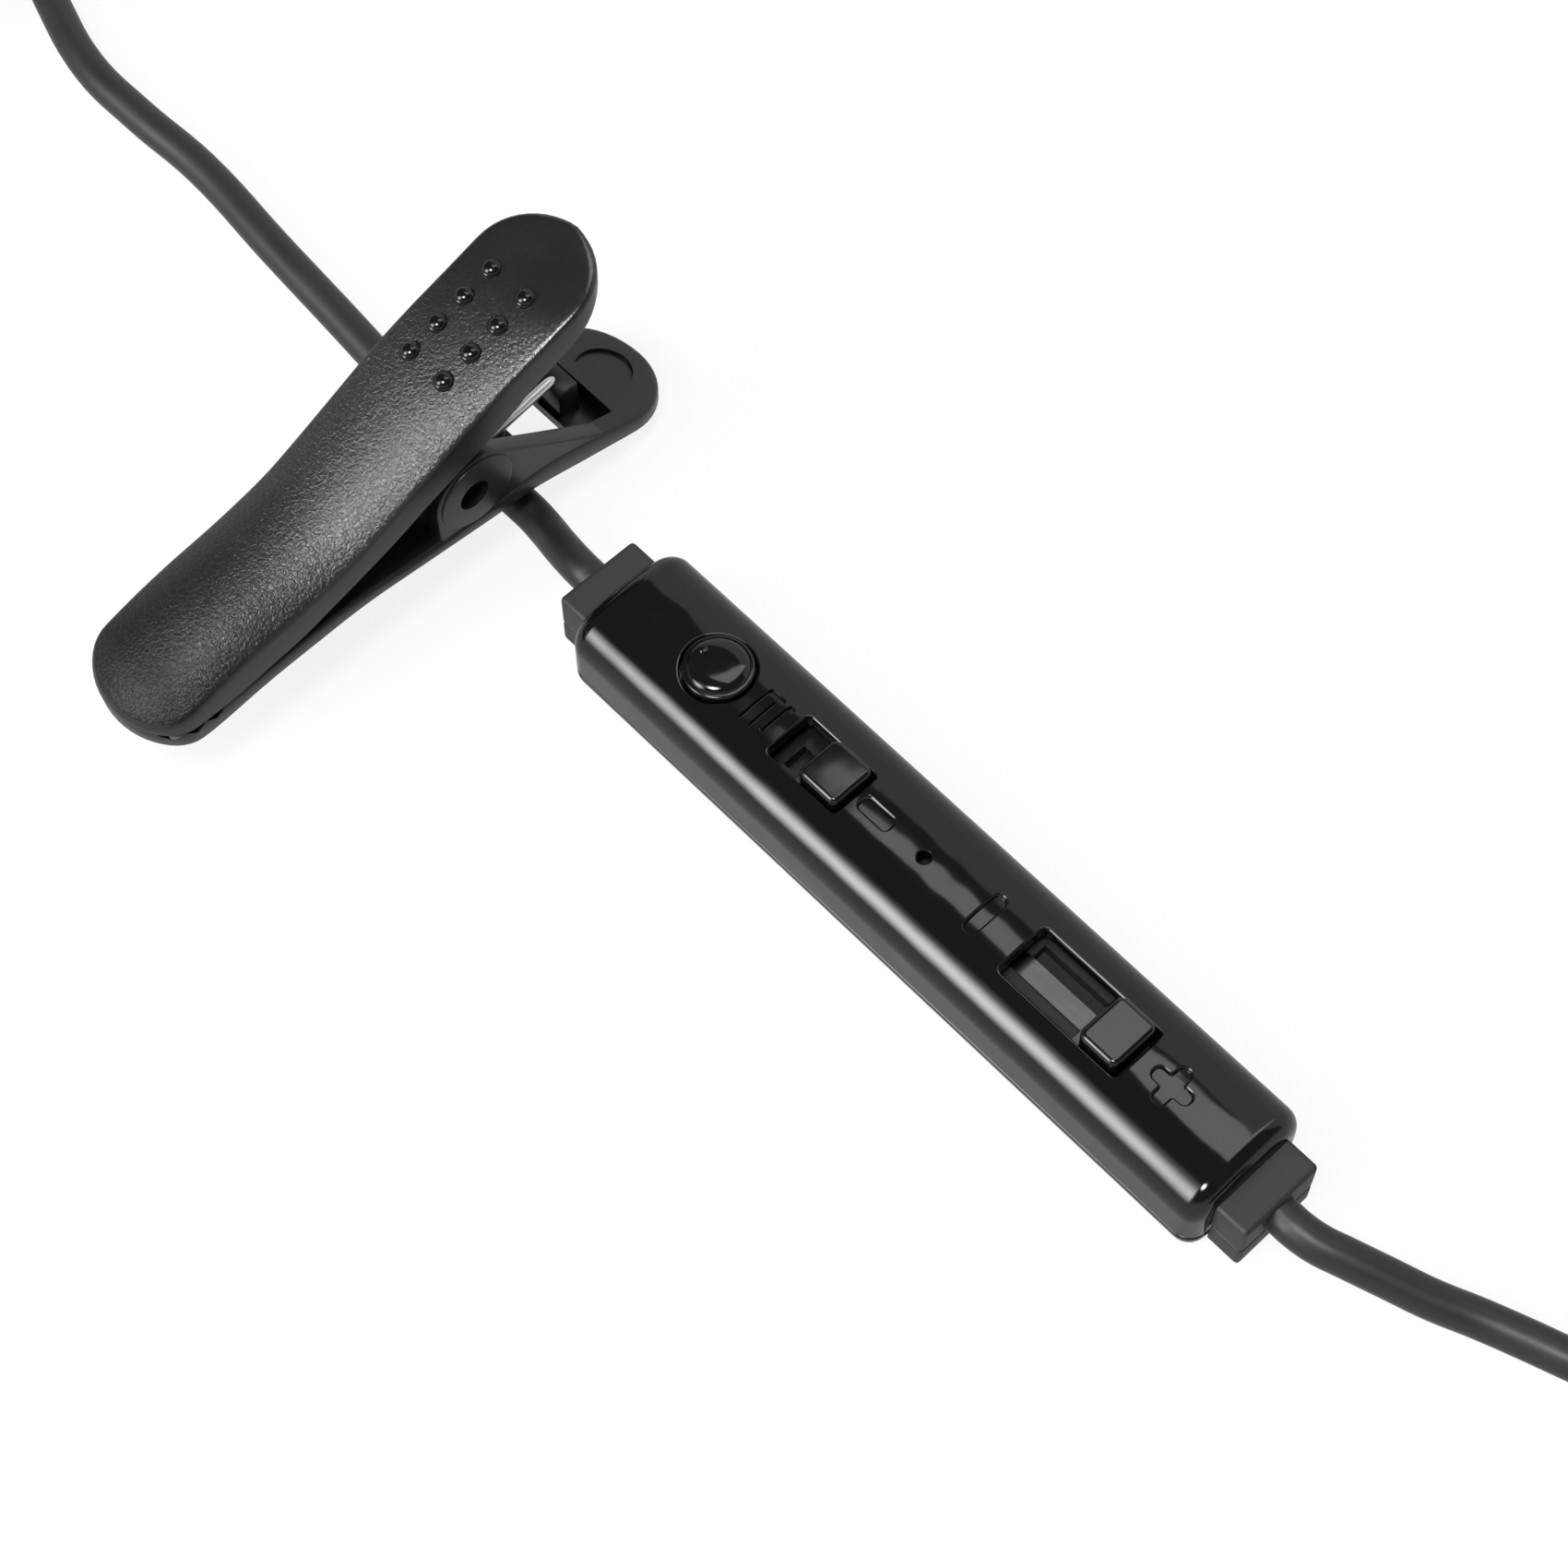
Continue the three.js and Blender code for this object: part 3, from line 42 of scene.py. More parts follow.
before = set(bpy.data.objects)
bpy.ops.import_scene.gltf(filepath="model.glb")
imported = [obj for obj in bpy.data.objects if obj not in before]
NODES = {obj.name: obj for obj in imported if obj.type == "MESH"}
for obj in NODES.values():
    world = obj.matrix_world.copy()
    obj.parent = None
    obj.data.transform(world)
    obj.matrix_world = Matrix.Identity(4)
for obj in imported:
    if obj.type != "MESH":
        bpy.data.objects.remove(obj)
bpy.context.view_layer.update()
MM = 0.001
SMOOTH_ANGLE = math.radians(32)


# Colour, sizes and properties

def linear(code, alpha=None):
    """An sRGB hex colour as linear numbers."""
    values = []
    for start in (0, 2, 4):
        share = int(code[start:start + 2], 16) / 255
        values.append(share / 12.92 if share <= 0.04045 else ((share + 0.055) / 1.055) ** 2.4)
    return (*values, 1.0) if alpha is None else (*values, alpha)


def size_property(name, millimetres, description):
    return bpy.props.FloatProperty(
        name=name, description=description, default=millimetres * MM,
        unit="LENGTH", subtype="DISTANCE")


def colour_property(name, code, description):
    return bpy.props.FloatVectorProperty(
        name=name, description=description, default=linear(code),
        size=4, subtype="COLOR", min=0, max=1)


class RemoteSizes(bpy.types.PropertyGroup):
    length: size_property("Length", 54.2, "Length of the remote's box")
    width: size_property("Width", 9.5, "Width of the box")
    height: size_property("Height", 7.1, "Height of the box at the middle of its crown")
    shoulder: size_property("Shoulder radius", 2.4, "Rounding between the crown and the sides")
    crown: size_property("Crown radius", 14, "Radius of the shallow crown")
    base: size_property("Base radius", 1.7, "Rounding between the sides and the underside")
    end: size_property("End rounding", 1.3, "Rounding round both ends of the box")
    parting: size_property("Parting height", 1.9, "Height of the line between the two shells")
    wall: size_property("Wall", 1, "Wall thickness of the shells")
    mark_depth: size_property("Mark depth", 0.27, "Depth of the engraved marks")
    stroke: size_property("Mark stroke", 0.37, "Width of the floor of the marks' strokes")


class ClipSizes(bpy.types.PropertyGroup):
    span: size_property("Span", 40, "Length that the side outlines are drawn for")
    height: size_property("Height", 19.4, "Height that the side outlines are drawn for")
    handle: size_property("Handle width", 9, "Width of both handles")
    jaw: size_property("Jaw width", 8.9, "Width of both jaws")
    wire: size_property("Wire diameter", 0.7, "Diameter of the spring's wire")


class CordSizes(bpy.types.PropertyGroup):
    diameter: size_property("Diameter", 2.5, "Diameter of both cords")
    pitch: size_property("Coil pitch", 3, "Distance between the turns of a coil")


class Finishes(bpy.types.PropertyGroup):
    gloss: colour_property("Polished black", "0b0b0b", "Polished shells, knobs and button")
    satin: colour_property("Satin black", "1c1c1c", "Clip, stubs, grips and socket")
    cord: colour_property("Cord black", "1f1f1f", "Cord sheath")
    steel: colour_property("Spring steel", "e6e6e3", "Spring, pin and pressed plates")


# Mesh building, all in millimetres until a piece is finished

def rest():
    """Leaves edit mode with nothing selected."""
    if bpy.context.object is not None and bpy.context.object.mode != "OBJECT":
        bpy.ops.object.mode_set(mode="OBJECT")
    bpy.ops.object.select_all(action="DESELECT")


def take(piece):
    rest()
    piece.select_set(True)
    bpy.context.view_layer.objects.active = piece


def edit(piece, kind="VERT"):
    take(piece)
    bpy.ops.object.mode_set(mode="EDIT")
    bpy.ops.mesh.select_mode(type=kind)
    return bmesh.from_edit_mesh(piece.data)


def pick(piece, test, kind="FACE"):
    """Opens the piece for editing with only the faces, edges or corners that pass a test selected."""
    mesh = edit(piece, kind)
    bpy.ops.mesh.select_all(action="DESELECT")
    items = {"FACE": mesh.faces, "EDGE": mesh.edges, "VERT": mesh.verts}[kind]
    for item in items:
        if test(item):
            item.select_set(True)
    mesh.select_flush_mode()
    bmesh.update_edit_mesh(piece.data)


def close_up(piece, distance=1e-4):
    """Merges doubled corners and turns every face outwards."""
    edit(piece)
    bpy.ops.mesh.select_all(action="SELECT")
    bpy.ops.mesh.remove_doubles(threshold=distance)
    bpy.ops.mesh.dissolve_degenerate(threshold=distance)
    bpy.ops.mesh.select_all(action="SELECT")
    bpy.ops.mesh.normals_make_consistent(inside=False)
    rest()


def ring_skin(name, rings, capped=True):
    """A skin drawn out from ring to ring. Uncapped ends are rings that shrink to a line or a point."""
    rest()
    bpy.ops.mesh.primitive_circle_add(
        vertices=len(rings[0]), radius=1, fill_type="NGON" if capped else "NOTHING")
    piece = bpy.context.object
    piece.name = name
    mesh = edit(piece)
    order = mesh.verts.layers.int.new("order")
    for corner in mesh.verts:
        corner[order] = corner.index
    bpy.ops.mesh.select_all(action="SELECT")
    for number, ring in enumerate(rings):
        if number:
            bpy.ops.mesh.extrude_region_move()
        mesh = bmesh.from_edit_mesh(piece.data)
        order = mesh.verts.layers.int["order"]
        for corner in mesh.verts:
            if corner.select:
                corner.co = ring[corner[order]]
        bmesh.update_edit_mesh(piece.data)
    rest()
    piece.data.attributes.remove(piece.data.attributes["order"])
    close_up(piece)
    return piece


def drawn_out(name, outline, start, end, axis="X", edge=0, steps=3):
    """A flat outline drawn out along an axis, with its two rims rounded."""
    def at(point, place):
        u, v = point
        return {"X": (place, u, v), "Y": (u, place, v), "Z": (u, v, place)}[axis]
    piece = ring_skin(name, [[at(p, place) for p in outline] for place in (start, end)])
    if edge:
        number = "XYZ".index(axis)
        pick(piece, lambda e: abs(e.verts[0].co[number] - e.verts[1].co[number]) < 1e-5, "EDGE")
        bpy.ops.mesh.bevel(offset=edge, segments=steps, affect="EDGES", clamp_overlap=False)
        close_up(piece)
    return piece


def soft_block(name, low, high, edge=0, steps=3):
    """A block between two corners with all its edges rounded."""
    rest()
    middle = [(a + b) / 2 for a, b in zip(low, high)]
    bpy.ops.mesh.primitive_cube_add(size=1, location=middle, scale=[b - a for a, b in zip(low, high)])
    piece = bpy.context.object
    piece.name = name
    bpy.ops.object.transform_apply(location=True, rotation=True, scale=True)
    if edge:
        edit(piece)
        bpy.ops.mesh.select_all(action="SELECT")
        bpy.ops.mesh.bevel(offset=edge, segments=steps, affect="EDGES")
        rest()
    return piece


def turned(name, profile, place=(0, 0, 0), axis="Z", steps=48):
    """A profile of (radius, height) points spun round an axis through a place."""
    rest()
    bpy.ops.mesh.primitive_circle_add(vertices=len(profile), radius=1, fill_type="NOTHING")
    piece = bpy.context.object
    piece.name = name
    mesh = edit(piece)
    for corner, (radius, height) in zip(mesh.verts, profile):
        corner.co = (radius, 0, height)
    bmesh.update_edit_mesh(piece.data)
    bpy.ops.mesh.select_all(action="SELECT")
    bpy.ops.mesh.spin(
        steps=steps, angle=2 * math.pi, center=(0, 0, 0), axis=(0, 0, 1), use_auto_merge=False)
    close_up(piece)
    turn = {"Z": (0, 0, 0), "-Y": (math.pi / 2, 0, 0), "X": (0, math.pi / 2, 0)}[axis]
    take(piece)
    piece.rotation_euler = turn
    piece.location = place
    bpy.ops.object.transform_apply(location=True, rotation=True, scale=True)
    return piece


def softened(points, radius, steps=4, closed=True):
    """An outline with each corner rounded as far as its sides allow."""
    count = len(points)
    result = []
    for i, point in enumerate(points):
        if not closed and i in (0, count - 1):
            result.append(tuple(point))
            continue
        corner = Vector(point)
        before = Vector(points[i - 1]) - corner
        after = Vector(points[(i + 1) % count]) - corner
        angle = before.angle(after, math.pi)
        if angle > math.radians(176) or before.length < 1e-6 or after.length < 1e-6:
            result.append(tuple(point))
            continue
        here = radius[i] if isinstance(radius, (list, tuple)) else radius
        reach = min(here / math.tan(angle / 2), before.length * 0.49, after.length * 0.49)
        start = corner + before.normalized() * reach
        end = corner + after.normalized() * reach
        for step in range(steps + 1):
            share = step / steps
            low = start.lerp(corner, share)
            high = corner.lerp(end, share)
            bend = low.lerp(high, share)
            result.append(tuple(bend))
    return result


def smooth_line(points, per_span=8):
    """A Catmull-Rom line through points, as the side outlines of the clip are drawn."""
    line = []
    last = len(points) - 1
    for i in range(last):
        p0, p1, p2, p3 = (Vector(points[max(0, min(last, i + k))]) for k in (-1, 0, 1, 2))
        for step in range(per_span):
            t = step / per_span
            v0, v1 = (p2 - p0) / 2, (p3 - p1) / 2
            cubic = (2 * (p1 - p2) + v0 + v1) * t ** 3
            square = (3 * (p2 - p1) - 2 * v0 - v1) * t ** 2
            line.append(tuple(cubic + square + v0 * t + p1))
    line.append(tuple(points[-1]))
    return line


def height_on(line, place):
    """The height of a side outline at a place, or of its nearer end."""
    for (y0, z0), (y1, z1) in zip(line, line[1:]):
        if (y0 - place) * (y1 - place) <= 0 and y0 != y1:
            return z0 + (z1 - z0) * (place - y0) / (y1 - y0)
    ends = sorted((line[0], line[-1]))
    return ends[0][1] if place < ends[0][0] else ends[1][1]


def ease(value, low, high):
    """A share that rises smoothly from 0 at low to 1 at high."""
    share = min(max((value - low) / (high - low), 0), 1)
    return share * share * (3 - 2 * share)


def combine(piece, tool, how="DIFFERENCE"):
    """Cuts a tool out of a piece, or joins it on, and removes the tool."""
    take(piece)
    change = piece.modifiers.new("cut", "BOOLEAN")
    change.operation = how
    change.solver = "EXACT"
    change.object = tool
    bpy.ops.object.modifier_apply(modifier=change.name)
    bpy.data.objects.remove(tool, do_unlink=True)
    return piece


def move(piece, offset):
    take(piece)
    piece.location = offset
    bpy.ops.object.transform_apply(location=True, rotation=True, scale=True)
    return piece


def twin(piece, name):
    copy = piece.copy()
    copy.data = piece.data.copy()
    copy.name = name
    bpy.context.scene.collection.objects.link(copy)
    return copy


def finished(piece, body, slot, nodes, *finishes, smooth=SMOOTH_ANGLE, flats=False):
    """Takes a piece from millimetres to metres and ties it to the frame. A piece with flats keeps
    them flat to the eye up to their rounded edges."""
    take(piece)
    piece.scale = (MM, MM, MM)
    bpy.ops.object.transform_apply(location=True, rotation=True, scale=True)
    bpy.ops.object.shade_smooth_by_angle(angle=smooth)
    if flats:
        change = piece.modifiers.new("flats", "WEIGHTED_NORMAL")
        change.keep_sharp = True
        change.weight = 100
        bpy.ops.object.modifier_apply(modifier=change.name)
    piece.data.materials.clear()
    for finish in finishes:
        piece.data.materials.append(finish)
    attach(piece, body)
    if nodes:
        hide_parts(*nodes)
    rest()
    return piece


# Materials

def add_node(tree, kind, settings=None, links=None):
    """One shader node with its settings, a ramp's stops among them, and the links into its sockets."""
    node = tree.nodes.new(kind)
    for name, value in (settings or {}).items():
        if name == "stops":
            points = node.color_ramp.elements
            while len(points) < len(value):
                points.new(0.5)
            for point, (position, colour) in zip(points, value):
                point.position = position
                point.color = colour
        elif isinstance(name, int) or name in node.inputs:
            node.inputs[name].default_value = value
        else:
            setattr(node, name, value)
    for name, source in (links or {}).items():
        tree.links.new(source, node.inputs[name])
    return node


def new_finish(name):
    finish = bpy.data.materials.new(name)
    finish.use_nodes = True
    finish.node_tree.nodes.clear()
    return finish, finish.node_tree


def polished_abs(colour):
    """Polished moulded ABS: near mirror gloss with a very slight ripple that softens reflections."""
    finish, tree = new_finish("polished_abs")
    where = add_node(tree, "ShaderNodeTexCoord").outputs["Object"]
    ripple = add_node(tree, "ShaderNodeTexNoise", {"Scale": 420.0, "Detail": 0.0}, {"Vector": where})
    haze = add_node(tree, "ShaderNodeTexNoise", {"Scale": 900.0, "Detail": 4.0}, {"Vector": where})
    bump = add_node(
        tree, "ShaderNodeBump", {"Strength": 0.08, "Distance": 0.0004}, {"Height": ripple.outputs[0]})
    rough = add_node(
        tree, "ShaderNodeMapRange", {"To Min": 0.05, "To Max": 0.1}, {"Value": haze.outputs[0]})
    shader = add_node(
        tree, "ShaderNodeBsdfPrincipled", {"Base Color": colour, "IOR": 1.53},
        {"Roughness": rough.outputs[0], "Normal": bump.outputs[0]})
    add_node(tree, "ShaderNodeOutputMaterial", links={"Surface": shader.outputs[0]})
    return finish


def grained_abs(colour):
    """ABS moulded against an etched tool: a leathery grain about 0.2 mm across that fades to a
    smooth handle, satin in between, so that a light breaks up into grains."""
    finish, tree = new_finish("grained_abs")
    where = add_node(tree, "ShaderNodeTexCoord").outputs["Object"]
    grain = add_node(
        tree, "ShaderNodeTexNoise", {"Scale": 4600.0, "Detail": 3.0, "Distortion": 0.6},
        {"Vector": where})
    tone = add_node(tree, "ShaderNodeTexNoise", {"Scale": 420.0, "Detail": 3.0}, {"Vector": where})
    parts = add_node(tree, "ShaderNodeSeparateXYZ", links={"Vector": where})
    fade = add_node(
        tree, "ShaderNodeMapRange",
        {"From Min": -0.002, "From Max": 0.006, "To Min": 0.85, "To Max": 0.12},
        {"Value": parts.outputs["Y"]})
    bump = add_node(
        tree, "ShaderNodeBump", {"Distance": 0.00009},
        {"Height": grain.outputs[0], "Strength": fade.outputs[0]})
    shades = add_node(
        tree, "ShaderNodeValToRGB", {"stops": [(0.3, tuple(0.8 * c for c in colour)), (0.7, colour)]},
        {"Fac": tone.outputs[0]})
    base = add_node(
        tree, "ShaderNodeMapRange",
        {"From Min": 0.0, "From Max": 0.007, "To Min": 0.24, "To Max": 0.12},
        {"Value": parts.outputs["Y"]})
    rough = add_node(
        tree, "ShaderNodeMath", {"operation": "MULTIPLY_ADD", 1: 0.14},
        {0: grain.outputs[0], 2: base.outputs[0]})
    # The jaw end is etched deeper and shines less
    shine = add_node(
        tree, "ShaderNodeMapRange",
        {"From Min": -0.026, "From Max": -0.013, "To Min": 0.2, "To Max": 0.8},
        {"Value": parts.outputs["Y"]})
    shader = add_node(
        tree, "ShaderNodeBsdfPrincipled", {"IOR": 1.52},
        {"Base Color": shades.outputs[0], "Roughness": rough.outputs[0], "Normal": bump.outputs[0],
         "Specular IOR Level": shine.outputs[0]})
    add_node(tree, "ShaderNodeOutputMaterial", links={"Surface": shader.outputs[0]})
    return finish


def satin_abs(name, colour, low, high, scale, depth):
    """ABS from a smoother part of the tool: the same black with a broader, cleaner sheen."""
    finish, tree = new_finish(name)
    where = add_node(tree, "ShaderNodeTexCoord").outputs["Object"]
    skin = add_node(tree, "ShaderNodeTexNoise", {"Scale": scale, "Detail": 3.0}, {"Vector": where})
    bump = add_node(
        tree, "ShaderNodeBump", {"Strength": 0.3, "Distance": depth}, {"Height": skin.outputs[0]})
    rough = add_node(
        tree, "ShaderNodeMapRange", {"To Min": low, "To Max": high}, {"Value": skin.outputs[0]})
    shader = add_node(
        tree, "ShaderNodeBsdfPrincipled", {"Base Color": colour, "IOR": 1.52},
        {"Roughness": rough.outputs[0], "Normal": bump.outputs[0]})
    add_node(tree, "ShaderNodeOutputMaterial", links={"Surface": shader.outputs[0]})
    return finish


def cord_sheath(colour):
    """Soft extruded sheath: satin, a little uneven in tone, with faint cross ripples from coiling."""
    finish, tree = new_finish("soft_pvc_sheath")
    where = add_node(tree, "ShaderNodeTexCoord").outputs["Object"]
    tone = add_node(tree, "ShaderNodeTexNoise", {"Scale": 300.0, "Detail": 4.0}, {"Vector": where})
    skin = add_node(tree, "ShaderNodeTexNoise", {"Scale": 2600.0, "Detail": 2.0}, {"Vector": where})
    bump = add_node(
        tree, "ShaderNodeBump", {"Strength": 0.25, "Distance": 0.00005}, {"Height": skin.outputs[0]})
    shades = add_node(
        tree, "ShaderNodeValToRGB", {"stops": [(0.3, tuple(0.8 * c for c in colour)), (0.7, colour)]},
        {"Fac": tone.outputs[0]})
    rough = add_node(
        tree, "ShaderNodeMapRange", {"To Min": 0.38, "To Max": 0.5}, {"Value": tone.outputs[0]})
    shader = add_node(
        tree, "ShaderNodeBsdfPrincipled", {"IOR": 1.5, "Sheen Weight": 0.08, "Sheen Roughness": 0.4},
        {"Base Color": shades.outputs[0], "Roughness": rough.outputs[0], "Normal": bump.outputs[0]})
    add_node(tree, "ShaderNodeOutputMaterial", links={"Surface": shader.outputs[0]})
    return finish


def drawn_metal(name, colour, low, high, stretch, depth):
    """Drawn or turned metal: fine marks along one way over a bright skin."""
    finish, tree = new_finish(name)
    where = add_node(tree, "ShaderNodeTexCoord").outputs["Object"]
    mapping = add_node(tree, "ShaderNodeMapping", {"Scale": stretch}, {"Vector": where})
    marks = add_node(
        tree, "ShaderNodeTexNoise", {"Scale": 1.0, "Detail": 3.0}, {"Vector": mapping.outputs[0]})
    bump = add_node(
        tree, "ShaderNodeBump", {"Strength": 0.2, "Distance": depth}, {"Height": marks.outputs[0]})
    rough = add_node(
        tree, "ShaderNodeMapRange", {"To Min": low, "To Max": high}, {"Value": marks.outputs[0]})
    shader = add_node(
        tree, "ShaderNodeBsdfPrincipled", {"Base Color": colour, "Metallic": 1.0},
        {"Roughness": rough.outputs[0], "Normal": bump.outputs[0]})
    add_node(tree, "ShaderNodeOutputMaterial", links={"Surface": shader.outputs[0]})
    return finish


def speckled(name, colours, scale, low, high, depth):
    """A moulded, fired or lacquered finish whose tone wanders between two colours."""
    finish, tree = new_finish(name)
    where = add_node(tree, "ShaderNodeTexCoord").outputs["Object"]
    fleck = add_node(tree, "ShaderNodeTexNoise", {"Scale": scale, "Detail": 4.0}, {"Vector": where})
    bump = add_node(
        tree, "ShaderNodeBump", {"Strength": 0.3, "Distance": depth}, {"Height": fleck.outputs[0]})
    shades = add_node(
        tree, "ShaderNodeValToRGB", {"stops": [(0.35, colours[0]), (0.65, colours[1])]},
        {"Fac": fleck.outputs[0]})
    rough = add_node(
        tree, "ShaderNodeMapRange", {"To Min": low, "To Max": high}, {"Value": fleck.outputs[0]})
    shader = add_node(
        tree, "ShaderNodeBsdfPrincipled", {},
        {"Base Color": shades.outputs[0], "Roughness": rough.outputs[0], "Normal": bump.outputs[0]})
    add_node(tree, "ShaderNodeOutputMaterial", links={"Surface": shader.outputs[0]})
    return finish


def wanted(name):
    """The finish of that name, made on its first use."""
    known = bpy.data.materials.get(name)
    if known is not None:
        return known
    finishes = bpy.context.scene.lavalier_finishes
    satin = tuple(finishes.satin)
    steel = tuple(finishes.steel)
    makers = {
        "polished_abs": lambda: polished_abs(tuple(finishes.gloss)),
        "grained_abs": lambda: grained_abs(satin),
        # The clip's side walls and rims, from the polished part of its tool
        "satin_abs": lambda: satin_abs("satin_abs", satin, 0.26, 0.36, 1500.0, 0.00002),
        # Matte moulded stubs, softer than the box
        "matte_tpe": lambda: satin_abs("matte_tpe", linear("242424"), 0.45, 0.6, 2200.0, 0.00004),
        "soft_pvc_sheath": lambda: cord_sheath(tuple(finishes.cord)),
        # Vulcanised rubber: no clear highlight
        "matte_rubber": lambda: speckled(
            "matte_rubber", (linear("141414"), linear("1b1b1b")), 1800.0, 0.7, 0.85, 0.00004),
        # Hard drawn spring wire: bright with fine lengthwise die marks
        "spring_steel": lambda: drawn_metal(
            "spring_steel", steel, 0.26, 0.4, (2500.0, 2500.0, 500.0), 0.00001),
        # Turned and plated contacts, marks run round the axis
        "nickel_plate": lambda: drawn_metal(
            "nickel_plate", linear("d8d5cc"), 0.14, 0.26, (400.0, 5200.0, 400.0), 0.000008),
        # Stamped contact brass
        "stamped_brass": lambda: drawn_metal(
            "stamped_brass", linear("c9a24a"), 0.25, 0.4, (600.0, 3800.0, 3800.0), 0.00001),
        # Board with green lacquer over glass cloth
        "lacquered_board": lambda: speckled(
            "lacquered_board", (linear("174a2f"), linear("21603f")), 1400.0, 0.28, 0.42, 0.00003),
        # Moulded chip resin
        "chip_resin": lambda: speckled(
            "chip_resin", (linear("191919"), linear("242424")), 3600.0, 0.5, 0.65, 0.00003),
        # Near-black carrier of the mode switch: painted shade, so that the inside of the mode slot
        # reads dark
        "painted_slot_shade": lambda: speckled(
            "painted_slot_shade", (linear("0d0d0d"), linear("151515")), 2400.0, 0.3, 0.42, 0.00002),
        # Blued steel strip: dark with a clear shine. On the clip's pin the same dark steel is painted
        # shade, standing in for the shadow inside the pin hole
        "blued_steel_and_pin_shade": lambda: drawn_metal(
            "blued_steel_and_pin_shade", linear("565656"), 0.16, 0.28, (300.0, 4000.0, 4000.0), 0.00001),
        # Fired ceramic block
        "fired_ceramic": lambda: speckled(
            "fired_ceramic", (linear("a8967a"), linear("c2b092")), 2600.0, 0.45, 0.6, 0.00002),
        # White nylon
        "white_nylon": lambda: speckled(
            "white_nylon", (linear("dcdad2"), linear("ebe9e2")), 1900.0, 0.4, 0.52, 0.00002),
    }
    return makers[name]()


# Stage

class LAVALIER_OT_stage(bpy.types.Operator):
    """Sets the camera, the floor and the world that lights the object"""
    bl_idname = "lavalier.stage"
    bl_label = "Stage"

    def execute(self, context):
        lens = bpy.data.cameras.new("camera")
        lens.lens = 78.48
        lens.sensor_width = 36
        lens.sensor_fit = "HORIZONTAL"
        lens.clip_start = 0.01
        camera = bpy.data.objects.new("camera", lens)
        context.scene.collection.objects.link(camera)
        # Its axes and its place in metres, fitted to the photograph
        right = Vector((0.6897, 0.7241, 0)).normalized()
        back = Vector((0.3400, -0.3238, 0.8829))
        back = (back - back.dot(right) * right).normalized()
        up = back.cross(right)
        camera.matrix_world = Matrix((
            (right.x, up.x, back.x, 0.061234),
            (right.y, up.y, back.y, -0.069940),
            (right.z, up.z, back.z, 0.190534),
            (0, 0, 0, 1)))
        context.scene.camera = camera
        context.scene.view_settings.view_transform = "Standard"
        stage_floor()
        stage_world()
        return {"FINISHED"}


# Each light of the studio as seen from the object: name, way to its middle, roll in degrees, reach of
# its soft edge across and upwards, and level
LIGHTS = [
    ("long_softbox", (-0.27, -0.82, 0.5), 18, 0.37, 0.52, 13.2),
    ("softbox_spill", (-0.2, -0.6, 0.77), 18, 0.24, 0.42, 2.2),
    ("small_key", (0.1, -0.32, 0.94), 0, 0.24, 0.26, 36.0),
]
DARK_LEVEL, PALE_LEVEL, CARD_LEVEL = 0.11, 0.65, 2.25
# The surround and the card, each with how its edges join. An edge has the axis that it is measured
# along, whether it is torn, where it starts and ends, and the levels before and after it
FORMS = [
    ("MAXIMUM", [
        ((-0.17, 1, 0), False, 0.537, 0.553, DARK_LEVEL, PALE_LEVEL),
        ((0, 0, 1), False, 0.2, 0.42, PALE_LEVEL, DARK_LEVEL),
    ]),
    ("MINIMUM", [
        ((0, 1, 0), True, 0.197, 0.214, 0, CARD_LEVEL),
        ((-1.04, 1, 0), True, 0.67, 0.688, CARD_LEVEL, 0),
        ((1, 0, 0), False, -0.36, -0.315, 0, CARD_LEVEL),
        ((1, 0, 0), True, 0, 0.1, CARD_LEVEL, 0),
        ((0, 0, 1), False, 0.3, 0.4, 0, CARD_LEVEL),
    ]),
]
# How bright a mirror sees the floor, and what the camera's rays add to that
MIRRORED_FLOOR, MORE_IN_VIEW = 0.55, 0.45
# How much of the floor shines by itself, the rest being paper that takes the object's shadow
FLOOR_GLOW = 0.86


def background_rays(tree):
    """A share that is 1 for what the camera, mirrors and glass see, and 0 for soft light."""
    path = add_node(tree, "ShaderNodeLightPath")
    seen = path.outputs["Is Camera Ray"]
    for name in ("Is Glossy Ray", "Is Transmission Ray"):
        wider = add_node(
            tree, "ShaderNodeMath", {"operation": "MAXIMUM"}, {0: seen, 1: path.outputs[name]})
        seen = wider.outputs[0]
    return seen


def stage_floor():
    rest()
    bpy.ops.mesh.primitive_plane_add(size=1, location=(0, 0, -0.0001))
    floor = bpy.context.object
    floor.name = "floor"
    floor.scale = (6, 6, 1)
    bpy.ops.object.transform_apply(location=True, rotation=True, scale=True)
    finish, tree = new_finish("white_sweep")
    paper = add_node(tree, "ShaderNodeBsdfDiffuse", {"Color": linear("f4f4f4")})
    # A mirror sees the floor a little greyer than the camera does, as it stands in the object's shade
    path = add_node(tree, "ShaderNodeLightPath")
    level = add_node(
        tree, "ShaderNodeMath", {"operation": "MULTIPLY_ADD", 1: MORE_IN_VIEW, 2: MIRRORED_FLOOR},
        {0: path.outputs["Is Camera Ray"]})
    white = add_node(
        tree, "ShaderNodeEmission", {"Color": (1, 1, 1, 1)}, {"Strength": level.outputs[0]})
    share = add_node(
        tree, "ShaderNodeMath", {"operation": "MULTIPLY", 1: FLOOR_GLOW}, {0: background_rays(tree)})
    mix = add_node(
        tree, "ShaderNodeMixShader",
        links={0: share.outputs[0], 1: paper.outputs[0], 2: white.outputs[0]})
    add_node(tree, "ShaderNodeOutputMaterial", links={"Surface": mix.outputs[0]})
    floor.data.materials.append(finish)


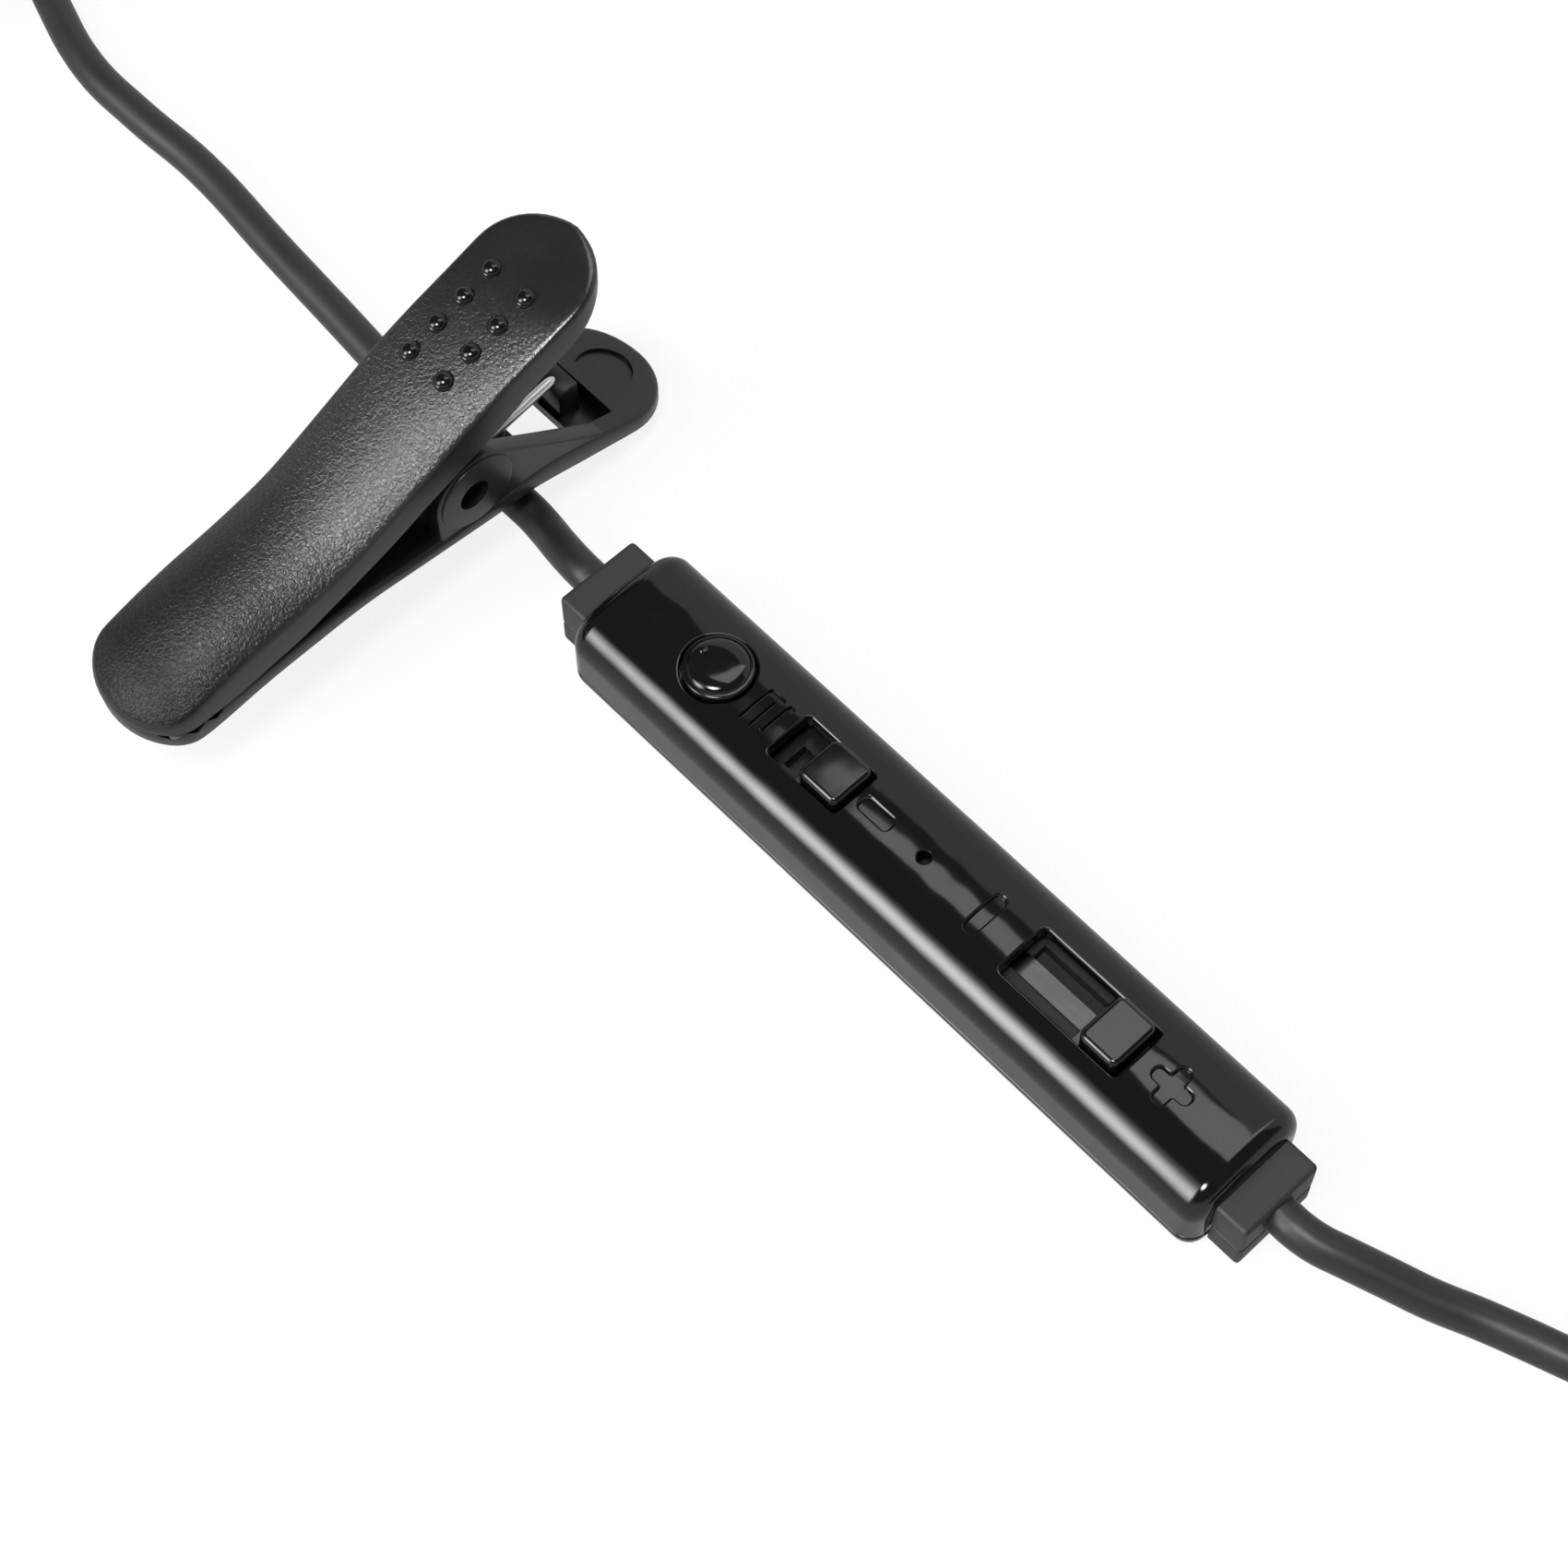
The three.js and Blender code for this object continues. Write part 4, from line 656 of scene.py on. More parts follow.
def stage_world():
    """A pale surround with a dark ceiling, a card, a long softbox and a small key light."""
    world = bpy.data.worlds.new("studio")
    world.use_nodes = True
    bpy.context.scene.world = world
    tree = world.node_tree
    tree.nodes.clear()
    way = add_node(tree, "ShaderNodeTexCoord").outputs["Generated"]
    tears = add_node(tree, "ShaderNodeTexNoise", {"Scale": 14.0, "Detail": 1.2}, {"Vector": way})
    torn = add_node(
        tree, "ShaderNodeVectorMath", {"operation": "MULTIPLY_ADD", 1: (0.012, 0.022, 0)},
        {0: tears.outputs["Color"], 2: way}).outputs["Vector"]
    parts = []
    for join, edges in FORMS:
        form = None
        for axis, ragged, start, end, before, after in edges:
            along = add_node(
                tree, "ShaderNodeVectorMath", {"operation": "DOT_PRODUCT", 1: axis},
                {0: torn if ragged else way})
            level = add_node(
                tree, "ShaderNodeMapRange",
                {"interpolation_type": "SMOOTHSTEP", "From Min": start, "From Max": end,
                 "To Min": before, "To Max": after}, {"Value": along.outputs["Value"]})
            if form is not None:
                level = add_node(
                    tree, "ShaderNodeMath", {"operation": join}, {0: form, 1: level.outputs[0]})
            form = level.outputs[0]
        parts.append(form)
    for name, middle, roll, across, upwards, level in LIGHTS:
        facing = Vector(middle).to_track_quat("Z", "Y").to_matrix()
        facing = facing @ Matrix.Rotation(math.radians(roll), 3, "Z")
        placed = add_node(
            tree, "ShaderNodeMapping",
            {"label": name, "vector_type": "TEXTURE", "Rotation": tuple(facing.to_euler("XYZ")),
             "Scale": (across, upwards, 1000)}, {"Vector": way})
        away = add_node(
            tree, "ShaderNodeVectorMath", {"operation": "LENGTH"}, {0: placed.outputs["Vector"]})
        glow = add_node(
            tree, "ShaderNodeMapRange",
            {"interpolation_type": "SMOOTHSTEP", "From Min": 0, "From Max": 1,
             "To Min": level, "To Max": 0}, {"Value": away.outputs["Value"]})
        parts.append(glow.outputs[0])
    light = parts[0]
    for part in parts[1:]:
        total = add_node(tree, "ShaderNodeMath", {"operation": "ADD"}, {0: light, 1: part})
        light = total.outputs[0]
    path = add_node(tree, "ShaderNodeLightPath")
    seen = add_node(
        tree, "ShaderNodeMath", {"operation": "MAXIMUM"},
        {0: path.outputs["Is Camera Ray"], 1: path.outputs["Is Transmission Ray"]}).outputs[0]
    shades = add_node(
        tree, "ShaderNodeMix", {"data_type": "FLOAT", 3: 1.0}, {0: seen, 2: light})
    shine = add_node(
        tree, "ShaderNodeBackground", {"Color": (1, 1, 1, 1)}, {"Strength": shades.outputs[0]})
    add_node(tree, "ShaderNodeOutputWorld", links={"Surface": shine.outputs[0]})


# Cords, as distance out from the stub's face, then Y and Z
PLUG_RUN = [
    (0, 0, 3.55), (0.6, 0, 3.55), (1.2, 0, 3.55), (2.7, 0.25, 3.4), (4.5, 0.95, 3.1), (6.9, 2, 2.5),
    (9.4, 3.1, 1.85), (11.9, 4.35, 1.4), (14.5, 5.4, 1.27), (17.3, 6.4, 1.27), (22.5, 8.3, 1.27),
    (28.5, 10.45, 1.35), (34.5, 12.8, 1.5), (40.5, 15.4, 1.7), (46, 17.6, 1.8),
]
PLUG_TAIL = [
    (61.7, 18.35, 10.2), (66.5, 16.4, 8.4), (70.8, 13.2, 6), (73.9, 9.6, 4.1), (75.4, 6.6, 3.3),
    (75.7, 4, 3.1),
]
CLIP_RUN = [
    (0, 0, 3.55), (0.6, 0, 3.55), (1.2, 0, 3.55), (2.5, 0.15, 3.3), (4.3, 0.55, 2.6), (6.1, 1.05, 1.75),
    (7.9, 1.33, 1.4), (9.7, 1.35, 1.35), (12.4, 1.35, 1.35), (15.1, 1.35, 1.35), (18, 1.5, 1.32),
    (22, 1.85, 1.27), (27.5, 2.3, 1.27), (36.1, 2.9, 1.27), (45.1, 3.6, 1.27), (51.7, 3.35, 1.27),
    (57.4, 3.5, 1.27), (64.1, 5.3, 1.27), (69.5, 7.3, 1.4), (75, 9.6, 1.7),
]
CLIP_TAIL = [
    (90.5, 10.3, 4.8), (96.3, 7.9, 4.5), (100.7, 3.7, 4), (102.7, -1, 3.75), (102.9, -4.5, 3.7),
]
STUB_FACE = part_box("plug_side_stub")[1].x / MM
COIL_BASE = 1.85
STEPS_PER_TURN = 24


def coil_points(centre, mean_radius, layers, turns_per_layer, sense, pitch, diameter):
    """A flat spiral that runs in and out by layers and climbs where it turns back."""
    steps = round(layers * turns_per_layer * STEPS_PER_TURN)
    outer = mean_radius + turns_per_layer * pitch / 2
    points = []
    for i in range(steps + 1):
        turns = i / STEPS_PER_TURN
        layer = min(int(turns // turns_per_layer), layers - 1)
        along = turns - layer * turns_per_layer
        inward = along if layer % 2 == 0 else turns_per_layer - along
        radius = outer - inward * pitch
        level = 0
        for climb in range(1, layers):
            level += ease(turns - climb * turns_per_layer, -0.25, 0.25)
        angle = math.pi / 2 + sense * 2 * math.pi * turns
        points.append((
            centre[0] + radius * math.cos(angle), centre[1] + radius * math.sin(angle),
            COIL_BASE + level * pitch))
    first, last = points[0], points[-1]
    points.insert(0, (first[0] + sense * diameter, first[1], first[2]))
    points.append((last[0] - sense * diameter, last[1], last[2]))
    return points


def cord_curve(name, side, run, coil, tail, diameter):
    """One open curve from the stub through the coil to what is on its far end."""
    points = [(side * (STUB_FACE + out), y, z) for out, y, z in run] + coil
    points += [(side * (STUB_FACE + out), y, z) for out, y, z in tail]
    shape = bpy.data.curves.new(name, "CURVE")
    shape.dimensions = "3D"
    shape.bevel_depth = diameter * MM / 2
    shape.bevel_resolution = 6
    shape.resolution_u = 6
    shape.use_fill_caps = True
    line = shape.splines.new("BEZIER")
    line.bezier_points.add(len(points) - 1)
    for knot, point in zip(line.bezier_points, points):
        knot.co = Vector(point) * MM
        knot.handle_left_type = "AUTO"
        knot.handle_right_type = "AUTO"
    cord = bpy.data.objects.new(name, shape)
    bpy.context.scene.collection.objects.link(cord)
    shape.materials.append(wanted("soft_pvc_sheath"))
    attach(cord, "remote")
    return cord


class LAVALIER_OT_cords(bpy.types.Operator):
    """Lays both cords, each on one curve"""
    bl_idname = "lavalier.cords"
    bl_label = "Cords"

    def execute(self, context):
        sizes = context.scene.lavalier_cord
        diameter, pitch = sizes.diameter / MM, sizes.pitch / MM
        plug_coil = coil_points((STUB_FACE + 54.5, 1), 14.4, 4, 2.25, -1, pitch, diameter)
        clip_coil = coil_points((-STUB_FACE - 83, -4.5), 14, 2, 1, 1, pitch, diameter)
        plug = cord_curve("plug_side_cord", 1, PLUG_RUN, plug_coil, PLUG_TAIL, diameter)
        clip = cord_curve("clip_side_cord", -1, CLIP_RUN, clip_coil, CLIP_TAIL, diameter)
        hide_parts("plug_cord_run", "plug_cord_coil", "plug_cord_tail")
        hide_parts("clip_cord_run", "clip_cord_coil", "clip_cord_tail")
        return {"FINISHED"}


# Remote box

def box_section(sizes, inset):
    """The box's section as (Y, Z) points, run round from the underside."""
    half = sizes.width / MM / 2 - inset
    top = sizes.height / MM - inset
    shoulder, base, crown = (r / MM - inset for r in (sizes.shoulder, sizes.base, sizes.crown))
    tilt = math.asin((half - shoulder) / (crown - shoulder))
    crown_z = top - crown
    shoulder_z = crown_z + (crown - shoulder) * math.cos(tilt)
    quarter = math.pi / 2

    def arc(y, z, radius, start, end, steps):
        return [
            (y + radius * math.cos(start + (end - start) * i / steps),
             z + radius * math.sin(start + (end - start) * i / steps)) for i in range(steps + 1)]
    points = arc(half - base, inset + base, base, -quarter, 0, 8)
    points += arc(half - shoulder, shoulder_z, shoulder, 0, quarter - tilt, 14)
    points += arc(0, crown_z, crown, quarter - tilt, quarter + tilt, 16)[1:-1]
    points += arc(shoulder - half, shoulder_z, shoulder, quarter + tilt, math.pi, 14)
    points += arc(base - half, inset + base, base, math.pi, 3 * quarter, 8)
    return points


def crown_height(sizes, y):
    crown = sizes.crown / MM
    return sizes.height / MM - crown + math.sqrt(crown * crown - y * y)


def box_body(sizes, name, inset, end_inset):
    """The whole box before it is split. Its ends are rounded by rings that close in on a circle arc."""
    reach = sizes.length / MM / 2 - end_inset
    places = [(reach, inset)]
    if not inset:
        rounding = sizes.end / MM
        angles = [math.pi / 2 * (1 - i / 7) for i in range(8)]
        places = [(reach - rounding * (1 - math.sin(a)), rounding * (1 - math.cos(a))) for a in angles]
    ends = [(-x, closing) for x, closing in places] + [(x, closing) for x, closing in reversed(places)]
    return ring_skin(name, [[(x, y, z) for y, z in box_section(sizes, closing)] for x, closing in ends])


def skin_normal(sizes, y, z):
    """The way that the box's skin faces at a point of its section, and the point's distance from it."""
    half, top = sizes.width / MM / 2, sizes.height / MM
    shoulder, base, crown = sizes.shoulder / MM, sizes.base / MM, sizes.crown / MM
    tilt = math.asin((half - shoulder) / (crown - shoulder))
    shoulder_z = top - crown + (crown - shoulder) * math.cos(tilt)
    side = 1 if y > 0 else -1
    if z > shoulder_z:
        away = Vector((y, z - (top - crown)))
        if abs(math.atan2(away.x, away.y)) <= tilt:
            return away.normalized(), away.length - crown
        away = Vector((y - side * (half - shoulder), z - shoulder_z))
        return away.normalized(), away.length - shoulder
    if z > base:
        return Vector((side, 0)), abs(y) - half
    if abs(y) > half - base:
        away = Vector((y - side * (half - base), z - base))
        return away.normalized(), away.length - base
    return Vector((0, -1)), -z


def even_skin(sizes, shell):
    """Shades the box's outer skin as one smooth form, whatever is cut through it. In metres."""
    mesh = shell.data
    rounding = sizes.end / MM
    straight = sizes.length / MM / 2 - rounding

    def facing(corner):
        share = min(max((abs(corner.x) - straight) / rounding, 0), 1)
        flat = math.sqrt(1 - share * share)
        way, gap = skin_normal(sizes, corner.y, corner.z)
        end = math.copysign(share, corner.x)
        return Vector((end, way.x * flat, way.y * flat)), gap + rounding * (1 - flat)
    ways = [Vector(corner.vector) for corner in mesh.corner_normals]
    for face in mesh.polygons:
        found = [facing(mesh.vertices[mesh.loops[i].vertex_index].co / MM) for i in face.loop_indices]
        if max(abs(gap) for way, gap in found) > 0.008:
            continue
        if min(way.dot(face.normal) for way, gap in found) < 0.96:
            continue
        for i, (way, gap) in zip(face.loop_indices, found):
            ways[i] = way
    mesh.normals_split_custom_set(ways)


def grown(outline, extra):
    """A flat outline, run round anticlockwise, set out sideways by the same amount all round."""
    count = len(outline)
    turn = sum(a[0] * b[1] - b[0] * a[1] for a, b in zip(outline, outline[1:] + outline[:1]))
    side = 1 if turn > 0 else -1
    result = []
    for i, point in enumerate(outline):
        along = (Vector(outline[(i + 1) % count]) - Vector(outline[i - 1])).normalized()
        result.append((point[0] + side * along.y * extra, point[1] - side * along.x * extra))
    return result


def top_cutter(sizes, name, outline, floor, flare):
    """A cutter through the crown whose rim opens out in a small chamfer that follows the crown."""
    rings = [[(x, y, floor) for x, y in outline]]
    rings.append([(x, y, crown_height(sizes, y) - flare) for x, y in outline])
    for share in (0.3, 0.65, 1.0):
        wide = grown(outline, flare * (1 - math.cos(math.pi / 2 * share)))
        lift = flare * math.sin(math.pi / 2 * share)
        rings.append([(x, y, crown_height(sizes, y) - flare + lift) for x, y in wide])
    rings.append([(x, y, crown_height(sizes, y) + 0.6) for x, y in grown(outline, flare * 1.8)])
    return ring_skin(name, rings)


def circle(x, y, radius, steps):
    # No corner falls on the crown's middle line, where a cut would leave a crack
    angles = [2 * math.pi * (i + 0.5) / steps for i in range(steps)]
    return [(x + radius * math.cos(angle), y + radius * math.sin(angle)) for angle in angles]


def rectangle(x0, x1, y0, y1):
    return [(x0, y0), (x1, y0), (x1, y1), (x0, y1)]


def mark_outlines(stroke):
    """The floors of plain marks, as (across, up) points with the clip end of the box up, each with
    its place along the box, the rounding of its corners and the reach of its sloping walls."""
    s = stroke
    u, v = 2.85 / 2, 1.02
    two = [
        (-u, -v), (u, -v), (u, s - v), (s - u, s - v), (s - u, -s / 2), (u, -s / 2),
        (u, v), (-u, v), (-u, v - s), (u - s, v - s), (u - s, s / 2), (-u, s / 2)]
    one = rectangle(-0.4, 0.4, -1.15, 1.15)
    # The signs' bars are twice as broad as the digit's strokes
    minus = rectangle(-1.5, 1.5, -s, s)
    arm = 1.35
    plus = [
        (-s, -arm), (s, -arm), (s, -s), (arm, -s), (arm, s), (s, s), (s, arm),
        (-s, arm), (-s, s), (-arm, s), (-arm, -s), (-s, -s)]
    return {"two": (two, -13.7, 0.2, 0.09), "one": (one, -4.1, 0.23, 0.26),
            "minus": (minus, 5.2, 0.34, 0.22), "plus": (plus, 20.5, 0.34, 0.22)}


def mark_cutter(sizes, name, outline, depth, slope):
    """A cutter for a moulded mark: its floor follows the crown and its walls slope out to it."""
    rings = [[(x, y, crown_height(sizes, 0) - 1) for x, y in outline]]
    for share, lift in ((0, -0.25), (0.35, 0.3), (0.6, 0.65), (0.8, 0.88), (1.0, 0.99), (1.12, 1.05)):
        wide = grown(outline, slope * share)
        rings.append([(x, y, crown_height(sizes, y) - depth * (1 - lift)) for x, y in wide])
    rings.append([(x, y, crown_height(sizes, 0) + 1) for x, y, z in rings[-1]])
    cutter = ring_skin(name, rings)
    combine(cutter, box_body(sizes, "under_mark", depth, 0))
    return cutter


# Openings of the box: each slot's two ends and its width, the button's place and the radii of the
# two round holes, and the low and high Y and Z of the opening that each stub's neck stands in
SLOTS = {"mode": (-11.86, -5.86, 3.7), "volume": (8.22, 17.9, 4.08)}
BUTTON_X = -18.1
BUTTON_HOLE = 2.45
MIC_HOLE = 0.47
STUB_NECK = (-2.55, 2.55, 1.45, 4.95)
# Where the cutters for the openings end, inside the hollow
UNDER_CROWN = 4.0
# The gap between the two shells and the rounding of its edges
SEAM, SEAM_EDGE = 0.12, 0.13


class LAVALIER_OT_remote_box(bpy.types.Operator):
    """Builds the polished upper and lower shells of the remote"""
    bl_idname = "lavalier.remote_box"
    bl_label = "Remote box"

    def execute(self, context):
        sizes = context.scene.lavalier_remote
        parting, wall = sizes.parting / MM, sizes.wall / MM
        reach = sizes.length / MM
        upper = box_body(sizes, "remote_upper_shell", 0, 0)
        lower = twin(upper, "remote_lower_shell")
        halves = ((upper, True, parting + SEAM / 2), (lower, False, parting - SEAM / 2))
        for shell, clear_inner, place in halves:
            edit(shell)
            bpy.ops.mesh.select_all(action="SELECT")
            bpy.ops.mesh.bisect(
                plane_co=(0, 0, place), plane_no=(0, 0, 1), use_fill=True,
                clear_inner=clear_inner, clear_outer=not clear_inner)
            close_up(shell)
            pick(shell, lambda e: all(abs(v.co.z - place) < 1e-4 for v in e.verts), "EDGE")
            bpy.ops.mesh.bevel(offset=SEAM_EDGE, segments=3, affect="EDGES", clamp_overlap=False)
            close_up(shell)
        y0, y1, z0, z1 = STUB_NECK
        for shell in (upper, lower):
            combine(shell, box_body(sizes, "cavity", wall, wall))
            combine(shell, soft_block("neck", (-reach, y0, z0), (reach, y1, z1), 0.2))
        for name, (x0, x1, width) in SLOTS.items():
            plan = softened(rectangle(x0, x1, -width / 2, width / 2), 0.38)
            combine(upper, top_cutter(sizes, name, plan, UNDER_CROWN, 0.14))
        for name, x, radius, steps, flare in (
                ("button_hole", BUTTON_X, BUTTON_HOLE, 64, 0.16), ("sound_hole", 0, MIC_HOLE, 24, 0.1)):
            combine(upper, top_cutter(sizes, name, circle(x, 0, radius, steps), UNDER_CROWN, flare))
        for name, (outline, place, radius, slope) in mark_outlines(sizes.stroke / MM).items():
            floor = [(place - v, u) for u, v in softened(outline, radius, 4)]
            combine(upper, mark_cutter(sizes, name, floor, sizes.mark_depth / MM, slope))
        # Four posts carry the board, 47 mm by 6.8 mm, near its corners
        post_x, post_y = 0.42 * 47, 0.3 * 6.8
        for x in (-post_x, post_x):
            for y in (-post_y, post_y):
                post = [(0, 0.5), (0.6, 0.5), (0.6, 2.6), (0, 2.6)]
                combine(lower, turned("post", post, (x, y, 0), steps=24), "UNION")
        polished = wanted("polished_abs")
        finished(upper, "remote", "gloss_black", ["upper_shell"], polished)
        finished(lower, "remote", "gloss_black", ["lower_shell"], polished)
        even_skin(sizes, upper)
        even_skin(sizes, lower)
        return {"FINISHED"}


class LAVALIER_OT_controls(bpy.types.Operator):
    """Builds the call button and the two slide knobs"""
    bl_idname = "lavalier.controls"
    bl_label = "Controls"

    def execute(self, context):
        top = context.scene.lavalier_remote.height / MM
        rim = top + 0.2
        profile = [(0, 4.925), (0.8, 4.925), (0.8, 5.3), (2.9, 5.3), (2.9, 5.8), (2.3, 5.8)]
        profile += softened([(2.3, 5.8), (2.3, rim), (1.95, rim)], 0.22, 5, closed=False)[1:]
        # The top is a dome with a flat middle, from inside the rim
        shares = [math.cos(math.pi / 2 * i / 14) for i in range(15)]
        profile += [(2.0 * share, rim - 0.02 + 0.42 * math.sqrt(1 - share ** 4)) for share in shares]
        button = turned("call_button_cap", profile, (BUTTON_X, 0, 0), steps=64)
        pip = turned("pip", [(0, 7), (0.28, 7), (0.28, 7.75), (0.2, 7.82), (0, 7.85)],
                     (BUTTON_X - 1.3, 0, 0), steps=16)
        combine(button, pip, "UNION")
        polished = wanted("polished_abs")
        finished(button, "button", "gloss_black", ["call_button"], polished)
        # The knobs' flanges hold them in from under the crown, and reach further than the knobs
        base, knob_top = 5.05, 7.8
        more_length, more_width = 0.6, 0.45
        for name, node, body, knob_side, stem_y, stem_width in (
                ("mode_knob_cap", "mode_knob", "mode_slider", 1.7, 0, 1.3),
                ("volume_knob_cap", "volume_knob", "volume_slider", 1.89, 1.45, 0.6)):
            low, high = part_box(node)
            middle = (low.x + high.x) / MM / 2
            half = (high.x - low.x) / MM / 2 - more_length
            plan = softened(rectangle(middle - half, middle + half, -knob_side, knob_side), 0.6, 6)
            knob = drawn_out(name, plan, base, knob_top, "Z", edge=0.34, steps=5)
            reach, side = half + more_length, knob_side + more_width
            flange = soft_block(
                "flange", (middle - reach, -side, base), (middle + reach, side, base + 0.4), 0.05, 1)
            stem = soft_block(
                "stem", (middle - 0.7, stem_y - stem_width / 2, low.z / MM),
                (middle + 0.7, stem_y + stem_width / 2, base + 0.25))
            combine(knob, flange, "UNION")
            combine(knob, stem, "UNION")
            finished(knob, body, "gloss_black", [node], polished, flats=True)
        return {"FINISHED"}


class LAVALIER_OT_stubs(bpy.types.Operator):
    """Builds the moulded cord stub at each end of the box"""
    bl_idname = "lavalier.stubs"
    bl_label = "Cord stubs"

    def execute(self, context):
        # Each stub is two halves with a line between them, and a neck and a flange inside the box
        inner, outer = 27.13, STUB_FACE
        half_width, bottom, seam, top = 3.15, 0.6, 2.55, 5.4
        neck_end = 25.25
        for side, name, node in ((1, "plug_side_stub_moulding", "plug_side_stub"),
                                 (-1, "clip_side_stub_moulding", "clip_side_stub")):
            lower = soft_block(
                name, (inner - 1, -half_width, bottom), (outer, half_width, seam - 0.02), 0.28, 4)
            upper = soft_block(
                "upper", (inner - 1, -half_width, seam + 0.02), (outer, half_width, top), 0.32, 4)
            for block in (lower, upper):
                combine(block, soft_block("trim", (inner - 2, -5, -1), (inner, 5, 8)))
            core = soft_block("core", (inner + 0.15, -2.95, 0.8), (outer - 0.15, 2.95, 5.2), 0.2, 2)
            neck = soft_block("neck", (neck_end, -2.4, 1.6), (inner + 0.4, 2.4, 4.8), 0.1, 1)
            flange = soft_block(
                "flange", (neck_end, -half_width, 1.3), (neck_end + 0.7, half_width, 5.1), 0.1, 1)
            for more in (upper, core, neck, flange):
                combine(lower, more, "UNION")
            if side < 0:
                take(lower)
                lower.scale = (-1, 1, 1)
                bpy.ops.object.transform_apply(location=True, rotation=True, scale=True)
                close_up(lower)
            finished(lower, "remote", "matte_black", [node], wanted("matte_tpe"), flats=True)
        return {"FINISHED"}


# Clip, drawn about its pivot: +Y to the handles, -Y to the jaws
PIVOT = (-41.9, -3, 8.3)
# The top face's middle line and its two edges, which lie lower where the face is crowned
UPPER_TOP = [
    (0.341, 0.5794), (0.252, 0.546), (0.155, 0.487), (0.078, 0.442), (-0.003, 0.388),
    (-0.083, 0.319), (-0.165, 0.247), (-0.24, 0.191), (-0.337, 0.149), (-0.43, 0.121),
    (-0.5, 0.09), (-0.56, 0.045), (-0.6, 0.005), (-0.63, -0.04), (-0.648, -0.075),
]
UPPER_EDGE = [
    (0.341, 0.565), (0.252, 0.532), (0.155, 0.469), (0.078, 0.418), (-0.003, 0.352),
    (-0.083, 0.272), (-0.165, 0.19), (-0.24, 0.124), (-0.337, 0.076), (-0.43, 0.047),
    (-0.5, 0.017), (-0.56, -0.018), (-0.6, -0.045), (-0.63, -0.068), (-0.648, -0.078),
]
UPPER_RIM = [
    (-0.648, -0.1057), (-0.52, -0.1057), (-0.47, -0.098), (-0.42, -0.082), (-0.36, -0.063),
    (-0.312, -0.036), (-0.175, 0.0536), (-0.075, 0.1381), (0.019, 0.2062), (0.089, 0.266),
    (0.135, 0.3196), (0.203, 0.3711), (0.265, 0.433), (0.341, 0.5155),
]
LOWER_TOP = [
    (-0.63, -0.1057), (-0.52, -0.1057), (-0.43, -0.0948), (-0.325, -0.0845), (-0.222, -0.0948),
    (-0.125, -0.1216), (0, -0.1423), (0.122, -0.1464), (0.2, -0.1794), (0.337, -0.2701),
    (0.45, -0.3423),
]
LOWER_BASE = [
    (0.45, -0.4186), (0.337, -0.3608), (0.237, -0.3052), (0.122, -0.2412), (0.04, -0.2268),
    (-0.095, -0.1938), (-0.227, -0.1629), (-0.332, -0.1649), (-0.437, -0.1753), (-0.547, -0.2021),
    (-0.63, -0.1856),
]
# How far each lever reaches to its handle's end and to its jaw's end
UPPER_REACH = (13.64, 25.9)
LOWER_REACH = (18.0, 25.8)
# How far the round ends of the jaws reach
JAW_END = 3.2
# The teeth along -Y, and half the gap between the two rows
TOOTH_START, TOOTH_PITCH, TOOTH_HEIGHT, TOOTH_LINE, TOOTH_COUNT = -20.6, 1.5, 0.45, -2.05, 3
BITE_GAP = 0.07
SKIN = 1.1
# The stud that the clip turns on, and the height of the cord's middle under it
STUD_Y, CORD_HEIGHT = 4.35, 1.35
# An inset past any half width, which closes a ring on the middle line
CLOSED = 99


def stations(handle_reach, jaw_reach, near_depth):
    """Places along a lever, closer together towards its round ends."""
    start, end = JAW_END - jaw_reach, handle_reach - near_depth
    angles = [math.pi / 2 * i / 12 for i in range(13)]
    count = 44
    places = [start - JAW_END * math.cos(angle) for angle in angles]
    places += [start + (end - start) * i / count for i in range(1, count)]
    return places + [end + near_depth * math.sin(angle) for angle in angles]


class LeverPlan:
    """A lever seen from above: a blunt round jaw end and a rounded handle end."""

    def __init__(self, sizes, handle_reach, jaw_reach, near_depth, far_depth):
        self.handle, self.jaw = sizes.handle / MM / 2, sizes.jaw / MM / 2
        self.reach, self.jaw_reach = handle_reach, jaw_reach
        self.near, self.far = near_depth, far_depth
        self.places = stations(handle_reach, jaw_reach, near_depth)

    def half_width(self, y, side):
        """How far the lever reaches from its middle line at a place, on one side."""
        depth = self.near if side > 0 else self.far
        if y < JAW_END - self.jaw_reach:
            share = min((JAW_END - self.jaw_reach - y) / JAW_END, 1)
            return self.jaw * math.sqrt(max(1 - share * share, 0))
        straight = self.reach - depth
        if y > straight:
            share = min((y - straight) / depth, 1)
            return self.handle * math.sqrt(max(1 - share * share, 0))
        low, high = JAW_END - self.jaw_reach, self.reach - self.near
        return self.jaw + (self.handle - self.jaw) * (y - low) / (high - low)

    def ring(self, inset, height):
        """The outline drawn in by an inset towards the middle line, at a height for each place."""
        spine_low = JAW_END - self.jaw_reach
        spine_high = self.reach - self.handle
        points = []
        walk = [(y, 1) for y in self.places] + [(y, -1) for y in reversed(self.places[1:-1])]
        for y, side in walk:
            x = side * self.half_width(y, side)
            spine = min(max(y, spine_low), spine_high)
            outward = Vector((x, y - spine))
            full = outward.length
            kept = max(full - inset, 0) / full if full > 1e-6 else 0
            px, py = x * kept, spine + (y - spine) * kept
            points.append((px, py, height(px, py, inset)))
        return points


